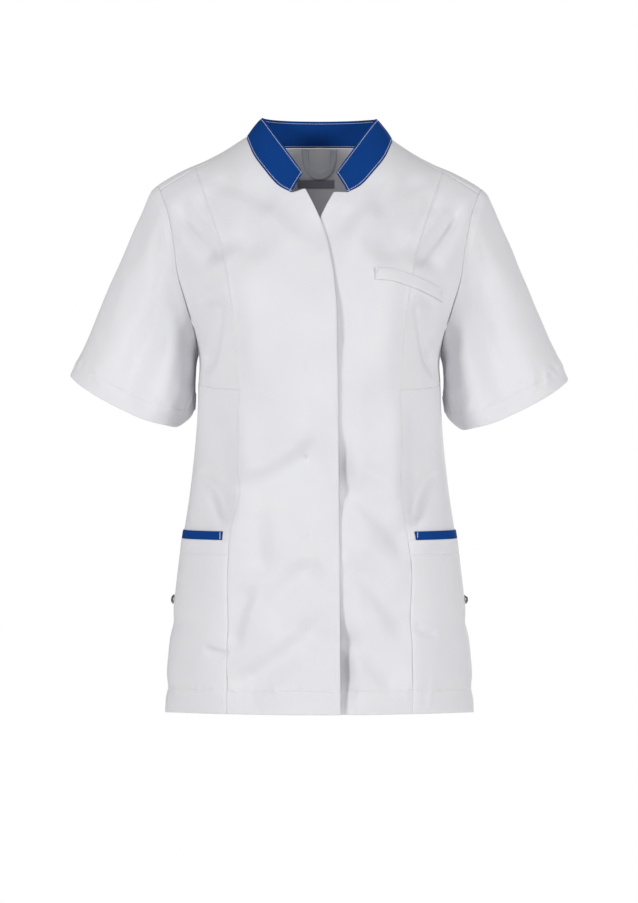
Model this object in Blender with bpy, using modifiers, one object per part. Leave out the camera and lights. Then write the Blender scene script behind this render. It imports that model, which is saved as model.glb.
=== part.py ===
"""Short-sleeved medical tunic for a woman, in its worn form with no wearer inside.

Units are metres. +Z is up, the garment faces -Y and the wearer's left side is at +X.
The origin lies midway between the two neck points, where the shoulders carry the tunic.

Every cloth panel is a grid of points on one of two body surfaces, front and back. A point there is
named by its turn (the angle round the body from the centre line, 90 degrees at the side seam) and its
height. Each grid is an open surface, and a Solidify modifier gives it the cloth's thickness inwards.
"""

from collections import namedtuple
from math import pi

import bpy
import numpy as np
from mathutils import Vector

# Cloth and gaps
CLOTH = 0.0012  # wall of the white twill panels
COLLAR_CLOTH = 0.0016  # collar band, two layers and interfacing
SEAM = 0.0003  # clear gap between two pieces at a seam
HALF_SEAM = SEAM / 2
ARMHOLE_GAP = 0.0004  # each side of the armhole seam, where the sleeve head turns over it
SHOULDER_GAP = 0.0004  # each side of the shoulder seam
PANEL_GAP = 0.0005  # beside the side panel, where the seam runs through a fold
LAID_GAP = 0.0005  # under a small piece laid on a panel whose points it does not share
INSIDE_GAP = 0.0009  # the same inside the back, where the panel's flats come nearest

# Heights and widths that drive the cut
CHEST_Z = -0.225  # above this the body surfaces round over to the shoulder
UNDERARM_Z = -0.268  # bottom of the armhole
SHOULDER_TIP_X = 0.202
SHOULDER_TIP_Z = -0.056
NECK_POINT_X = 0.092
BACK_NECK_Z = -0.003
DART_TOP_SHARE = 0.575  # where the shoulder dart starts along the shoulder seam
TIP_SEAM_SHARE = 0.955  # the shoulder seam sits this share of the way up the rounding at its outer end
NECK_SEAM_SHARE = 0.998
FRONT_FLAT = 0.85  # under 1 squares the section off towards the side
BACK_FLAT = 0.80
FRONT_ROUND = 1.5  # how the rounding over the shoulder runs: 2 is an ellipse, less is flatter
BACK_ROUND = 2.2

Section = namedtuple("Section", "z half_width front_depth back_depth")
SECTIONS = (
    Section(-0.730, 0.1920, 0.1240, 0.1230),
    Section(-0.656, 0.1885, 0.1235, 0.1220),
    Section(-0.581, 0.1805, 0.1220, 0.1180),
    Section(-0.506, 0.1715, 0.1195, 0.1090),
    Section(-0.431, 0.1605, 0.1190, 0.0990),
    Section(-0.362, 0.1535, 0.1250, 0.0960),
    Section(-0.310, 0.1510, 0.1330, 0.0990),
    Section(-0.268, 0.1505, 0.1380, 0.1030),
    Section(-0.240, 0.1577, 0.1390, 0.1050),
    Section(-0.210, 0.1730, 0.1375, 0.1065),
    Section(-0.176, 0.1890, 0.1345, 0.1075),
    Section(-0.127, 0.2030, 0.1310, 0.1070),
    Section(-0.093, 0.2110, 0.1285, 0.1060),
    Section(-0.056, 0.2180, 0.1270, 0.1050),
    Section(0.050, 0.2320, 0.1250, 0.1030),
)

Place = namedtuple("Place", "x z")
# Top line of the shoulders
RIDGE = (
    Place(0.000, 0.0450),
    Place(0.092, 0.0040),
    Place(0.119, -0.0133),
    Place(0.140, -0.0245),
    Place(0.170, -0.0375),
    Place(0.202, -0.0560),
    Place(0.230, -0.0780),
)

# Closing edge of a front, measured from the centre line towards the panel's own side
Opening = namedtuple("Opening", "z x")
OPENING = (
    Opening(-0.730, -0.0256),
    Opening(-0.449, -0.0236),
    Opening(-0.268, -0.0214),
    Opening(-0.200, -0.0196),
    Opening(-0.160, -0.0150),
    Opening(-0.110, -0.0030),
    Opening(-0.072, 0.0174),
)

FRONT_NECK = (
    Place(0.0350, -0.0712),
    Place(0.0515, -0.0610),
    Place(0.0664, -0.0442),
    Place(0.0817, -0.0220),
    Place(0.0920, 0.0040),
)
BACK_NECK = (
    Place(0.0000, -0.0030),
    Place(0.0300, -0.0036),
    Place(0.0620, -0.0040),
    Place(0.0920, 0.0040),
)

Armhole = namedtuple("Armhole", "z front_x back_x")
ARMHOLE = (
    Armhole(-0.268, 0.1505, 0.1505),
    Armhole(-0.240, 0.1545, 0.1555),
    Armhole(-0.210, 0.1640, 0.1680),
    Armhole(-0.176, 0.1740, 0.1785),
    Armhole(-0.127, 0.1810, 0.1860),
    Armhole(-0.093, 0.1880, 0.1920),
    Armhole(-0.056, 0.2020, 0.2020),
)

# Line of the shoulder dart, carried on down as the seam of the side panel
Line = namedtuple("Line", "z x")
PANEL_LINE = (
    Line(-0.730, 0.1127),
    Line(-0.600, 0.1124),
    Line(-0.521, 0.1112),
    Line(-0.474, 0.1063),
    Line(-0.450, 0.0996),
    Line(-0.400, 0.0980),
    Line(-0.315, 0.0980),
    Line(-0.240, 0.1025),
    Line(-0.160, 0.1150),
    Line(-0.100, 0.1335),
    Line(-0.030, 0.1550),
)

# Rows of the panels, from the hem up: height at the side seam, at the centre, and rows up to the next
Level = namedtuple("Level", "name side_z centre_z rows")
LEVELS = (
    Level("hem", -0.7140, -0.7070, 1),
    Level("hem stitch", -0.6840, -0.6790, 2),
    Level("pocket foot", -0.6300, -0.6280, 2),
    Level("vent head", -0.5830, -0.5830, 3),
    Level("pocket mouth", -0.4970, -0.4970, 1),
    Level("band top", -0.4862, -0.4862, 3),
    Level("waist", -0.4100, -0.4100, 4),
    Level("dart seam", -0.3020, -0.3150, 2),
    Level("underarm", UNDERARM_Z, UNDERARM_Z, 0),
)
UPPER_ROWS = 14
UPPER_CROWD = 0.55  # 0 spaces the upper rows evenly, 1 crowds them fully at both ends

# Columns of a front: opening corner, neckline, shoulder to the dart, dart to the armhole
CORNER_COLUMNS = 2
NECK_COLUMNS = 6
SHOULDER_COLUMNS = 4
SIDE_COLUMNS = 6
BACK_NECK_COLUMNS = 5
BACK_SHOULDER_COLUMNS = 8
OVER_ROWS = 2  # the back goes over the shoulder to the seam in this many rows

VENT_SPREAD = 0.05  # how far the front edge of a side vent draws back at the hem, in radians of turn

# The left front runs under the right one at the opening, and comes level with it below the collar
LAP_STEP = CLOTH + 0.0016
LAP_FROM_X = 0.032
LAP_FADE = 0.030
LAP_TOP_Z = -0.082
LAP_FULL_Z = -0.098

# Folds: soft ridges (height above 0) and troughs (below 0), from one point to another.
# x is signed, + on the wearer's left, and the folds of the paired table lie on both sides.
Fold = namedtuple("Fold", "x0 z0 x1 z1 bow height width")
FRONT_FOLDS_PAIRED = (
    Fold(0.128, -0.075, 0.060, -0.155, -0.006, -0.0035, 0.018),
    Fold(0.160, -0.110, 0.118, -0.190, 0.004, -0.0030, 0.014),
    Fold(0.112, -0.215, 0.143, -0.300, 0.004, -0.0040, 0.014),
    Fold(0.090, -0.330, 0.094, -0.480, 0.000, 0.0030, 0.016),
    Fold(0.124, -0.340, 0.124, -0.470, 0.004, -0.0040, 0.014),
)
FRONT_FOLDS = (
    Fold(-0.090, -0.437, -0.013, -0.390, 0.004, -0.0035, 0.018),
    Fold(-0.064, -0.545, -0.013, -0.470, 0.004, -0.0035, 0.020),
    Fold(-0.090, -0.560, -0.088, -0.615, 0.004, -0.0030, 0.018),
    Fold(-0.090, -0.664, -0.013, -0.606, 0.004, -0.0035, 0.018),
    Fold(0.040, -0.400, 0.085, -0.445, -0.004, -0.0035, 0.018),
    Fold(0.036, -0.540, 0.085, -0.590, -0.006, -0.0030, 0.018),
    Fold(0.040, -0.600, 0.050, -0.690, 0.003, -0.0035, 0.016),
)
BACK_FOLDS_PAIRED = (
    Fold(0.040, -0.090, 0.130, -0.150, 0.006, -0.0030, 0.018),
    Fold(0.150, -0.130, 0.110, -0.230, 0.004, -0.0035, 0.016),
    Fold(0.060, -0.470, 0.066, -0.700, 0.004, 0.0040, 0.024),
    Fold(0.110, -0.520, 0.118, -0.690, -0.004, -0.0040, 0.020),
)
BACK_FOLDS = (
    Fold(0.020, -0.398, 0.120, -0.366, 0.004, -0.0035, 0.016),
    Fold(-0.120, -0.380, -0.010, -0.402, 0.004, -0.0035, 0.016),
    Fold(0.050, -0.446, 0.140, -0.425, -0.004, -0.0030, 0.016),
    Fold(-0.130, -0.428, -0.070, -0.450, -0.004, -0.0030, 0.016),
)

# Sleeve, from the armhole seam to its hem
SLEEVE_ROWS = 12
SLEEVE_CROWD = 1.5  # over 1 crowds the rows towards the armhole
SLEEVE_AXIS = (0.346, 0.0, -0.938)
HEAD_REACH = 0.20  # how far the sleeve head follows the shoulder before it falls, as a share of its length
CUFF_OUTER = (0.3110, 0.0, -0.2940)
CUFF_INNER = (0.1560, 0.0, -0.3310)
CUFF_HALF_DEPTH = 0.050
CUFF_LEFT_DROP = 0.0025  # the left sleeve hangs this much lower
Cuff = namedtuple("Cuff", "turn drop")  # turn in degrees from the underarm round by the front
CUFF_DROP = (
    Cuff(0, 0.0060),
    Cuff(14, 0.0170),
    Cuff(33, 0.0310),
    Cuff(59, 0.0340),
    Cuff(78, 0.0330),
    Cuff(98, 0.0275),
    Cuff(117, 0.0206),
    Cuff(136, 0.0130),
    Cuff(180, 0.0000),
    Cuff(225, 0.0010),
    Cuff(270, 0.0060),
    Cuff(330, 0.0080),
    Cuff(360, 0.0060),
)
SleeveFold = namedtuple("SleeveFold", "turn lean top bottom height width")
SLEEVE_FOLDS = (
    SleeveFold(62, 6, 0.10, 1.10, 0.0050, 15),
    SleeveFold(88, 10, 0.22, 1.05, -0.0050, 14),
    SleeveFold(120, 0, 0.45, 1.10, 0.0030, 20),
    SleeveFold(28, 0, 0.30, 1.05, -0.0040, 12),
    SleeveFold(255, -8, 0.15, 1.10, 0.0045, 20),
    SleeveFold(292, -4, 0.20, 1.00, -0.0045, 16),
    SleeveFold(222, -4, 0.30, 0.90, -0.0030, 18),
)

# Collar: its upper edge, from the front end to the side and from the side to the centre back
Edge = namedtuple("Edge", "x y z")
COLLAR_TOP_FRONT = (
    Edge(0.0203, -0.0560, -0.0457),
    Edge(0.0290, -0.0520, -0.0330),
    Edge(0.0425, -0.0425, -0.0140),
    Edge(0.0565, -0.0280, 0.0065),
    Edge(0.0675, -0.0110, 0.0235),
    Edge(0.0715, 0.0030, 0.0290),
)
COLLAR_TOP_BACK = (
    Edge(0.0715, 0.0030, 0.0290),
    Edge(0.0690, 0.0210, 0.0298),
    Edge(0.0560, 0.0410, 0.0302),
    Edge(0.0310, 0.0540, 0.0304),
    Edge(0.0000, 0.0585, 0.0305),
)
COLLAR_ROWS = 3
COLLAR_BELLY = 0.0012

# Small pieces laid on the panels
BAND_INSET = 0.0045  # the pocket band stops this far from the side panel's seam
WELT_HEIGHT = 0.0155
WELT_COLUMNS = 8
WELT_TOP = (
    Place(0.0672, -0.1640),
    Place(0.0980, -0.1675),
    Place(0.1230, -0.1742),
    Place(0.1495, -0.1890),
)
LABEL_WIDTH = 0.0485
LABEL_HEIGHT = 0.0103
LABEL_X = -0.0045
LABEL_Z = -0.0472
LABEL_CLOTH = 0.0010
LOOP_HALF_SPAN = 0.0190
LOOP_TOP_Z = -0.0052
LOOP_DROP = 0.0330
LOOP_TAPE = 0.0080
LOOP_CLOTH = 0.0010
LOOP_STAND_OFF = 0.0064
LOOP_COLUMNS = 20
STUD_RADIUS = 0.0062
STUD_HEIGHT = 0.0040
STUD_RIM = 0.0012
STUD_Z = -0.574
STUD_FROM_SIDE = 0.45  # of the last column of the pocket, counted from the side seam
STUD_STEPS = 20
STUD_RINGS = 4

Finish = namedtuple("Finish", "colour roughness metallic")
WHITE_TWILL = Finish((0.80, 0.80, 0.81), 0.85, 0.0)
BLUE_TWILL = Finish((0.010, 0.060, 0.270), 0.80, 0.0)
WHITE_TAPE = Finish((0.72, 0.72, 0.73), 0.70, 0.0)
GREY_LABEL = Finish((0.055, 0.052, 0.068), 0.60, 0.0)
STEEL = Finish((0.62, 0.63, 0.65), 0.25, 1.0)


def through(places, values, at):
    """A smooth curve through a table: cubic pieces that share the table's slope at each entry."""
    places = np.asarray(places, float)
    values = np.asarray(values, float)
    slopes = np.gradient(values, places)
    at = np.clip(at, places[0], places[-1])
    i = np.clip(np.searchsorted(places, at) - 1, 0, len(places) - 2)
    step = places[i + 1] - places[i]
    k = (at - places[i]) / step
    return (
        (1 + 2 * k) * (1 - k) ** 2 * values[i]
        + k * (1 - k) ** 2 * step * slopes[i]
        + k**2 * (3 - 2 * k) * values[i + 1]
        + k**2 * (k - 1) * step * slopes[i + 1]
    )


def column(table, name):
    """One named column of a table."""
    return [getattr(row, name) for row in table]


def smooth_step(share):
    """0 below 0, 1 above 1 and an even rise between."""
    share = np.clip(share, 0, 1)
    return share * share * (3 - 2 * share)


def section(name, z):
    """A size of the body's section at a height."""
    return through(column(SECTIONS, "z"), column(SECTIONS, name), z)


def turn_at(x, z):
    """Turn of the point that lies x to the side of the centre line at a height."""
    return np.arcsin(np.clip(np.asarray(x) / section("half_width", z), -1, 1))


def ridge_z(x):
    """Height of the top of the shoulder at a distance from the centre line."""
    return through(column(RIDGE, "x"), column(RIDGE, "z"), np.abs(x))


def both_sides(folds):
    """Folds of a paired table together with their mirror images."""
    return folds + tuple(fold._replace(x0=-fold.x0, x1=-fold.x1, bow=-fold.bow) for fold in folds)


FOLDS_OF_THE_FRONT = both_sides(FRONT_FOLDS_PAIRED) + FRONT_FOLDS
FOLDS_OF_THE_BACK = both_sides(BACK_FOLDS_PAIRED) + BACK_FOLDS


def fold_rise(folds, x, z):
    """Sum of the folds at a point: each is a soft bell across its line, faded out at both ends."""
    total = np.zeros(np.broadcast(x, z).shape)
    for fold in folds:
        run = np.array([fold.x1 - fold.x0, fold.z1 - fold.z0])
        length = np.hypot(*run)
        run = run / length
        along = ((x - fold.x0) * run[0] + (z - fold.z0) * run[1]) / length
        inside = np.clip(along, 0, 1)
        across = (x - fold.x0) * run[1] - (z - fold.z0) * run[0]
        across = across - fold.bow * 4 * inside * (1 - inside)
        fade = smooth_step(along / 0.3 + 0.5) * smooth_step((1 - along) / 0.3 + 0.5)
        total = total + fold.height * np.exp(-((across / fold.width) ** 2)) * fade
    return total


def body_points(turn, z, facing, folds=(), push=None):
    """Points of a body surface. facing is -1 at the front and 1 at the back.

    The section is x = half width * sin(turn), y = depth * cos(turn) to a power under 1, and above the
    chest the depth shrinks to nothing at the shoulder ridge, along a quarter of a superellipse.
    """
    if facing < 0:
        name, flat, power = "front_depth", FRONT_FLAT, FRONT_ROUND
    else:
        name, flat, power = "back_depth", BACK_FLAT, BACK_ROUND
    x = section("half_width", z) * np.sin(turn)
    share = np.clip((z - CHEST_Z) / (ridge_z(x) - CHEST_Z), 0, 1)
    rounding = (1 - share**power) ** (1 / power)
    depth = section(name, z) * np.maximum(np.cos(turn), 0) ** flat * rounding
    rise = fold_rise(folds, x, z)
    if push is not None:
        rise = rise + push(x, z)
    level = np.sqrt(1 - share**2)
    out = np.stack([np.sin(turn) * level, facing * np.cos(turn) * level, share], axis=-1)
    return np.stack([x, facing * depth, z + 0 * x], axis=-1) + rise[..., None] * out


def coons(bottom, top, left, right):
    """Fills the space between four edges, each a list of (turn, z): rows run from bottom to top."""
    u = np.linspace(0, 1, len(bottom))[None, :, None]
    # The blend across the rows follows the left edge's own spacing, so crowded rows stay crowded.
    w = ((left[:, 1] - left[0, 1]) / (left[-1, 1] - left[0, 1]))[:, None, None]
    corners = (
        (1 - u) * (1 - w) * bottom[0]
        + u * (1 - w) * bottom[-1]
        + (1 - u) * w * top[0]
        + u * w * top[-1]
    )
    return (1 - w) * bottom[None] + w * top[None] + (1 - u) * left[:, None] + u * right[:, None] - corners


def even(first, last, steps):
    """steps + 1 evenly spaced values."""
    return np.linspace(first, last, steps + 1)


def row_levels():
    """(height at the side, height at the centre) of each row from the hem to the underarm."""
    rows = [(LEVELS[0].side_z, LEVELS[0].centre_z)]
    for lower, upper in zip(LEVELS, LEVELS[1:]):
        for share in even(0, 1, lower.rows)[1:]:
            rows.append(
                (
                    lower.side_z + share * (upper.side_z - lower.side_z),
                    lower.centre_z + share * (upper.centre_z - lower.centre_z),
                )
            )
    return rows


def row_of(name):
    """Row number of a named level."""
    return sum(level.rows for level in LEVELS[: column(LEVELS, "name").index(name)])


def upper_shares():
    """Shares of the way from the underarm to the top edge, crowded at both ends."""
    share = even(0, 1, UPPER_ROWS)
    return share - UPPER_CROWD * np.sin(2 * pi * share) / (2 * pi)


def armhole_x(name, z):
    return through(column(ARMHOLE, "z"), column(ARMHOLE, name), z)


def shoulder_ridge(share):
    """(x, z) on the shoulder ridge, from the neck point to the shoulder tip."""
    x = NECK_POINT_X + (SHOULDER_TIP_X - NECK_POINT_X) * share
    return x, ridge_z(x)


def shoulder_seam(share):
    """(x, z) on the shoulder seam, which lies a little in front of the ridge at its outer end."""
    way_up = NECK_SEAM_SHARE + (TIP_SEAM_SHARE - NECK_SEAM_SHARE) * smooth_step(share)
    z = CHEST_Z + (shoulder_ridge(share)[1] - CHEST_Z) * way_up
    end_z = CHEST_Z + (ridge_z(SHOULDER_TIP_X) - CHEST_Z) * TIP_SEAM_SHARE
    x = NECK_POINT_X + (armhole_x("front_x", end_z) - NECK_POINT_X) * share
    return x, z


def along_table(table, steps):
    """(x, z) at even steps along the smooth curve through a table of points."""
    places = np.arange(len(table))
    at = np.linspace(0, len(table) - 1, 200)
    x = through(places, column(table, "x"), at)
    z = through(places, column(table, "z"), at)
    run = np.concatenate([[0], np.cumsum(np.hypot(np.diff(x), np.diff(z)))])
    wanted = even(0, run[-1], steps)
    return np.interp(wanted, run, x), np.interp(wanted, run, z)


def as_turns(x, z):
    return np.stack([turn_at(x, z), z + 0 * np.asarray(x)], axis=-1)


def panel_line_x(z):
    return through(column(PANEL_LINE, "z"), column(PANEL_LINE, "x"), z)


def front_grid():
    """(turn, z) of a front with its side panel, drawn flat.

    Rows run from the hem up, and columns from the closing edge to the side.
    """
    inner = CORNER_COLUMNS + NECK_COLUMNS + SHOULDER_COLUMNS
    rows = []
    for side_z, centre_z in row_levels():
        z = np.full(inner + SIDE_COLUMNS + 1, side_z)
        for _ in range(3):  # the row's height and its turns depend on each other
            opening = turn_at(through(column(OPENING, "z"), column(OPENING, "x"), z[0]), z[0])
            line = turn_at(panel_line_x(z[inner]), z[inner])
            turn = np.concatenate([even(opening, line, inner), even(line, pi / 2, SIDE_COLUMNS)[1:]])
            z = side_z + (centre_z - side_z) * (1 - np.abs(turn / (pi / 2)) ** 3)
        rows.append(np.stack([turn, z], axis=-1))
    lower = np.array(rows)

    corner_x, corner_z = OPENING[-1].x, OPENING[-1].z
    neck_x, neck_z = along_table(FRONT_NECK, NECK_COLUMNS)
    shoulder_x, shoulder_z = shoulder_seam(even(0, DART_TOP_SHARE, SHOULDER_COLUMNS))
    top_x = np.concatenate([even(corner_x, neck_x[0], CORNER_COLUMNS)[:-1], neck_x[:-1], shoulder_x])
    top_z = np.concatenate([even(corner_z, neck_z[0], CORNER_COLUMNS)[:-1], neck_z[:-1], shoulder_z])
    shares = upper_shares()
    edge_z = UNDERARM_Z + (corner_z - UNDERARM_Z) * shares
    edge = as_turns(through(column(OPENING, "z"), column(OPENING, "x"), edge_z), edge_z)
    line_z = UNDERARM_Z + (shoulder_z[-1] - UNDERARM_Z) * shares
    line_x = panel_line_x(line_z)
    line = as_turns(line_x + (shoulder_x[-1] - line_x[-1]) * shares**4, line_z)
    inner_patch = coons(lower[-1, : inner + 1], as_turns(top_x, top_z), edge, line)

    tip_x, tip_z = shoulder_seam(even(DART_TOP_SHARE, 1, SIDE_COLUMNS))
    arm_z = UNDERARM_Z + (tip_z[-1] - UNDERARM_Z) * shares
    arm = as_turns(armhole_x("front_x", arm_z), arm_z)
    side_patch = coons(lower[-1, inner:], as_turns(tip_x, tip_z), line, arm)
    upper = np.concatenate([inner_patch, side_patch[:, 1:]], axis=1)
    return np.concatenate([lower, upper[1:]])


def back_half_grid():
    """(turn, z) of half the back, drawn flat.

    Rows run from the hem up to the shoulder ridge, and columns from the centre to the side.
    """
    columns = BACK_NECK_COLUMNS + BACK_SHOULDER_COLUMNS
    lower = np.array(
        [
            np.stack([turn, side_z + 0 * turn], axis=-1)
            for side_z, _ in row_levels()
            for turn in [even(0, pi / 2, columns)]
        ]
    )
    neck_x, neck_z = along_table(BACK_NECK, BACK_NECK_COLUMNS)
    shoulder_x, shoulder_z = shoulder_ridge(even(0, 1, BACK_SHOULDER_COLUMNS))
    top = as_turns(np.concatenate([neck_x[:-1], shoulder_x]), np.concatenate([neck_z[:-1], shoulder_z]))
    shares = upper_shares()
    centre_z = UNDERARM_Z + (BACK_NECK_Z - UNDERARM_Z) * shares
    arm_z = UNDERARM_Z + (SHOULDER_TIP_Z - UNDERARM_Z) * shares
    upper = coons(
        lower[-1], top, as_turns(0 * centre_z, centre_z), as_turns(armhole_x("back_x", arm_z), arm_z)
    )
    return np.concatenate([lower, upper[1:]])


def sided(grid, hand):
    """Puts a grid drawn from the centre outwards in the order from the wearer's right to the left."""
    return grid if hand > 0 else grid[:, ::-1]


def outward(points):
    """Unit normals of a grid whose rows run up and whose columns run clockwise seen from above."""
    across = np.gradient(points, axis=1)
    up = np.gradient(points, axis=0)
    normal = np.cross(across, up)
    return normal / np.maximum(np.linalg.norm(normal, axis=-1, keepdims=True), 1e-12)


def draw_in(points, side, distance):
    """Moves one edge of a grid back towards its neighbours, along the surface."""
    edge, next_to = {
        "first row": (np.s_[0], np.s_[1]),
        "last row": (np.s_[-1], np.s_[-2]),
        "first column": (np.s_[:, 0], np.s_[:, 1]),
        "last column": (np.s_[:, -1], np.s_[:, -2]),
    }[side]
    points = points.copy()
    back = points[next_to] - points[edge]
    points[edge] += distance * back / np.linalg.norm(back, axis=-1, keepdims=True)
    return points


def material(name, finish):
    """A plain Principled material, shared by every piece of the same cloth."""
    made = bpy.data.materials.get(name)
    if made is None:
        made = bpy.data.materials.new(name)
        made.use_nodes = True
        shader = made.node_tree.nodes["Principled BSDF"]
        shader.inputs["Base Color"].default_value = (*finish.colour, 1)
        shader.inputs["Roughness"].default_value = finish.roughness
        shader.inputs["Metallic"].default_value = finish.metallic
    return made


def link(name, mesh, finish_name, finish):
    """Puts a mesh into the garment's collection as a named piece."""
    piece = bpy.data.objects.new(name, mesh)
    bpy.data.collections["medical_tunic"].objects.link(piece)
    mesh.materials.append(material(finish_name, finish))
    mesh.shade_smooth()
    return piece


def shell(
    name, points, finish_name="white_twill", finish=WHITE_TWILL, cloth=CLOTH, kept=None, joined=False
):
    """A grid of points as an open surface, thickened inwards.

    kept is a mask of the cells that have cloth, and joined closes each row into a ring.
    """
    rows, columns = points.shape[:2]
    number = np.arange(rows * columns).reshape(rows, columns)
    if joined:
        number = np.concatenate([number, number[:, :1]], axis=1)
    cells = np.stack([number[:-1, :-1], number[:-1, 1:], number[1:, 1:], number[1:, :-1]], axis=-1)
    faces = cells[kept] if kept is not None else cells.reshape(-1, 4)
    used = np.unique(faces)
    renumbered = np.searchsorted(used, faces)
    mesh = bpy.data.meshes.new(name)
    mesh.from_pydata(points.reshape(-1, 3)[used].tolist(), [], renumbered.tolist())
    piece = link(name, mesh, finish_name, finish)
    wall = piece.modifiers.new("cloth", "SOLIDIFY")
    wall.thickness = cloth
    wall.offset = -1
    wall.use_even_offset = False
    return piece


def left_lap(x, z):
    """The left front steps back under the right one near the opening, most where the edge stands proud."""
    proud = 0.0022 * np.exp(-(((z + 0.415) / 0.040) ** 2)) + 0.0030 * np.exp(-(((z + 0.655) / 0.050) ** 2))
    beside = smooth_step((LAP_FROM_X + LAP_FADE - x) / LAP_FADE)
    below = smooth_step((LAP_TOP_Z - z) / (LAP_TOP_Z - LAP_FULL_Z))
    return -(LAP_STEP + proud) * beside * below


def hand_name(name, hand):
    return f"{name}_{'left' if hand > 0 else 'right'}"


# The seam line of a panel at the armhole, with the panel's own course across it and its normal
ArmholeEdge = namedtuple("ArmholeEdge", "points course normal")


def armhole_edge(points, normals, under):
    """The last column of a panel above the underarm, as the line that a sleeve is sewn to."""
    seam = points[under:, -1]
    return ArmholeEdge(seam, seam - points[under:, -2], normals[under:, -1])


def front(hand):
    """A front with its side panel, pocket, pocket band and stud.

    Returns its armhole edge and its neckline.
    """
    grid = front_grid()
    inner = CORNER_COLUMNS + NECK_COLUMNS + SHOULDER_COLUMNS
    under, dart_row, vent_row = row_of("underarm"), row_of("dart seam"), row_of("vent head")
    mouth_row, band_row = row_of("pocket mouth"), row_of("band top")

    # Below its head the side vent's front edge draws back from the side seam.
    heights = np.array([side_z for side_z, _ in row_levels()])
    draw = VENT_SPREAD * smooth_step((heights[vent_row] - heights) / (heights[vent_row] - heights[0]))
    turns = grid[: len(heights), :, 0]
    across = np.clip(turns - turns[:, inner : inner + 1], 0, None)
    turns -= draw[:, None] * across / across[:, -1:]

    push = left_lap if hand > 0 else None
    points = body_points(hand * grid[..., 0], grid[..., 1], -1, FOLDS_OF_THE_FRONT, push)
    normals = hand * outward(points)

    whole = draw_in(points, "last column", HALF_SEAM)
    whole[under + 1 :] = draw_in(points, "last column", ARMHOLE_GAP)[under + 1 :]
    whole = draw_in(whole, "last row", SHOULDER_GAP)
    kept = np.ones((len(points) - 1, points.shape[1] - 1), bool)
    kept[:dart_row, inner:] = False
    shell(hand_name("front", hand), sided(whole, hand), kept=sided(kept, hand))

    panel = draw_in(draw_in(whole[: dart_row + 1, inner:], "last row", SEAM), "first column", PANEL_GAP)
    shell(hand_name("side_panel", hand), sided(panel, hand))

    laid = (whole + normals * (SEAM + CLOTH))[:, inner:]
    shell(hand_name("pocket", hand), sided(laid[: mouth_row + 1], hand))

    band = draw_in(draw_in(laid[mouth_row : band_row + 1], "first row", SEAM), "first column", BAND_INSET)
    shell(hand_name("pocket_band", hand), sided(band, hand), "blue_twill", BLUE_TWILL)

    neck = points[-1, CORNER_COLUMNS : CORNER_COLUMNS + NECK_COLUMNS + 1]
    stud(hand, laid[: mouth_row + 1])
    return armhole_edge(points, normals, under), neck


def back_panel():
    """The back in one piece, which goes over the shoulders to the shoulder seams."""
    half = back_half_grid()
    under = row_of("underarm")
    neck_row = len(half) - 1

    halves = {}
    for hand in (-1, 1):
        points = body_points(hand * half[..., 0], half[..., 1], 1, FOLDS_OF_THE_BACK)
        # Beyond the ridge the shoulder columns run down the front surface to the shoulder seam.
        along = np.maximum(np.arange(half.shape[1]) - BACK_NECK_COLUMNS, 0) / BACK_SHOULDER_COLUMNS
        ridge, seam = np.array(shoulder_ridge(along)), np.array(shoulder_seam(along))
        over = [points]
        for share in even(0, 1, OVER_ROWS)[1:]:
            x, z = ridge + (seam - ridge) * share**2
            over.append(body_points(hand * turn_at(x, z), z, -1)[None])
        halves[hand] = np.concatenate(over)

    edges = {hand: armhole_edge(points, -hand * outward(points), under) for hand, points in halves.items()}
    necks = {hand: points[neck_row, : BACK_NECK_COLUMNS + 1] for hand, points in halves.items()}
    for hand, points in halves.items():
        drawn = draw_in(points, "last row", SHOULDER_GAP)
        drawn[: under + 1] = draw_in(drawn, "last column", HALF_SEAM)[: under + 1]
        drawn[under + 1 :] = draw_in(drawn, "last column", ARMHOLE_GAP)[under + 1 :]
        halves[hand] = drawn
    kept = np.ones((neck_row + OVER_ROWS, half.shape[1] - 1), bool)
    kept[neck_row:, :BACK_NECK_COLUMNS] = False
    # Seen from behind the columns run from the wearer's left to the right.
    whole = np.concatenate([halves[1][:, ::-1], halves[-1][:, 1:]], axis=1)
    shell("back", whole, kept=np.concatenate([kept[:, ::-1], kept], axis=1))
    return edges, necks


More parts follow.
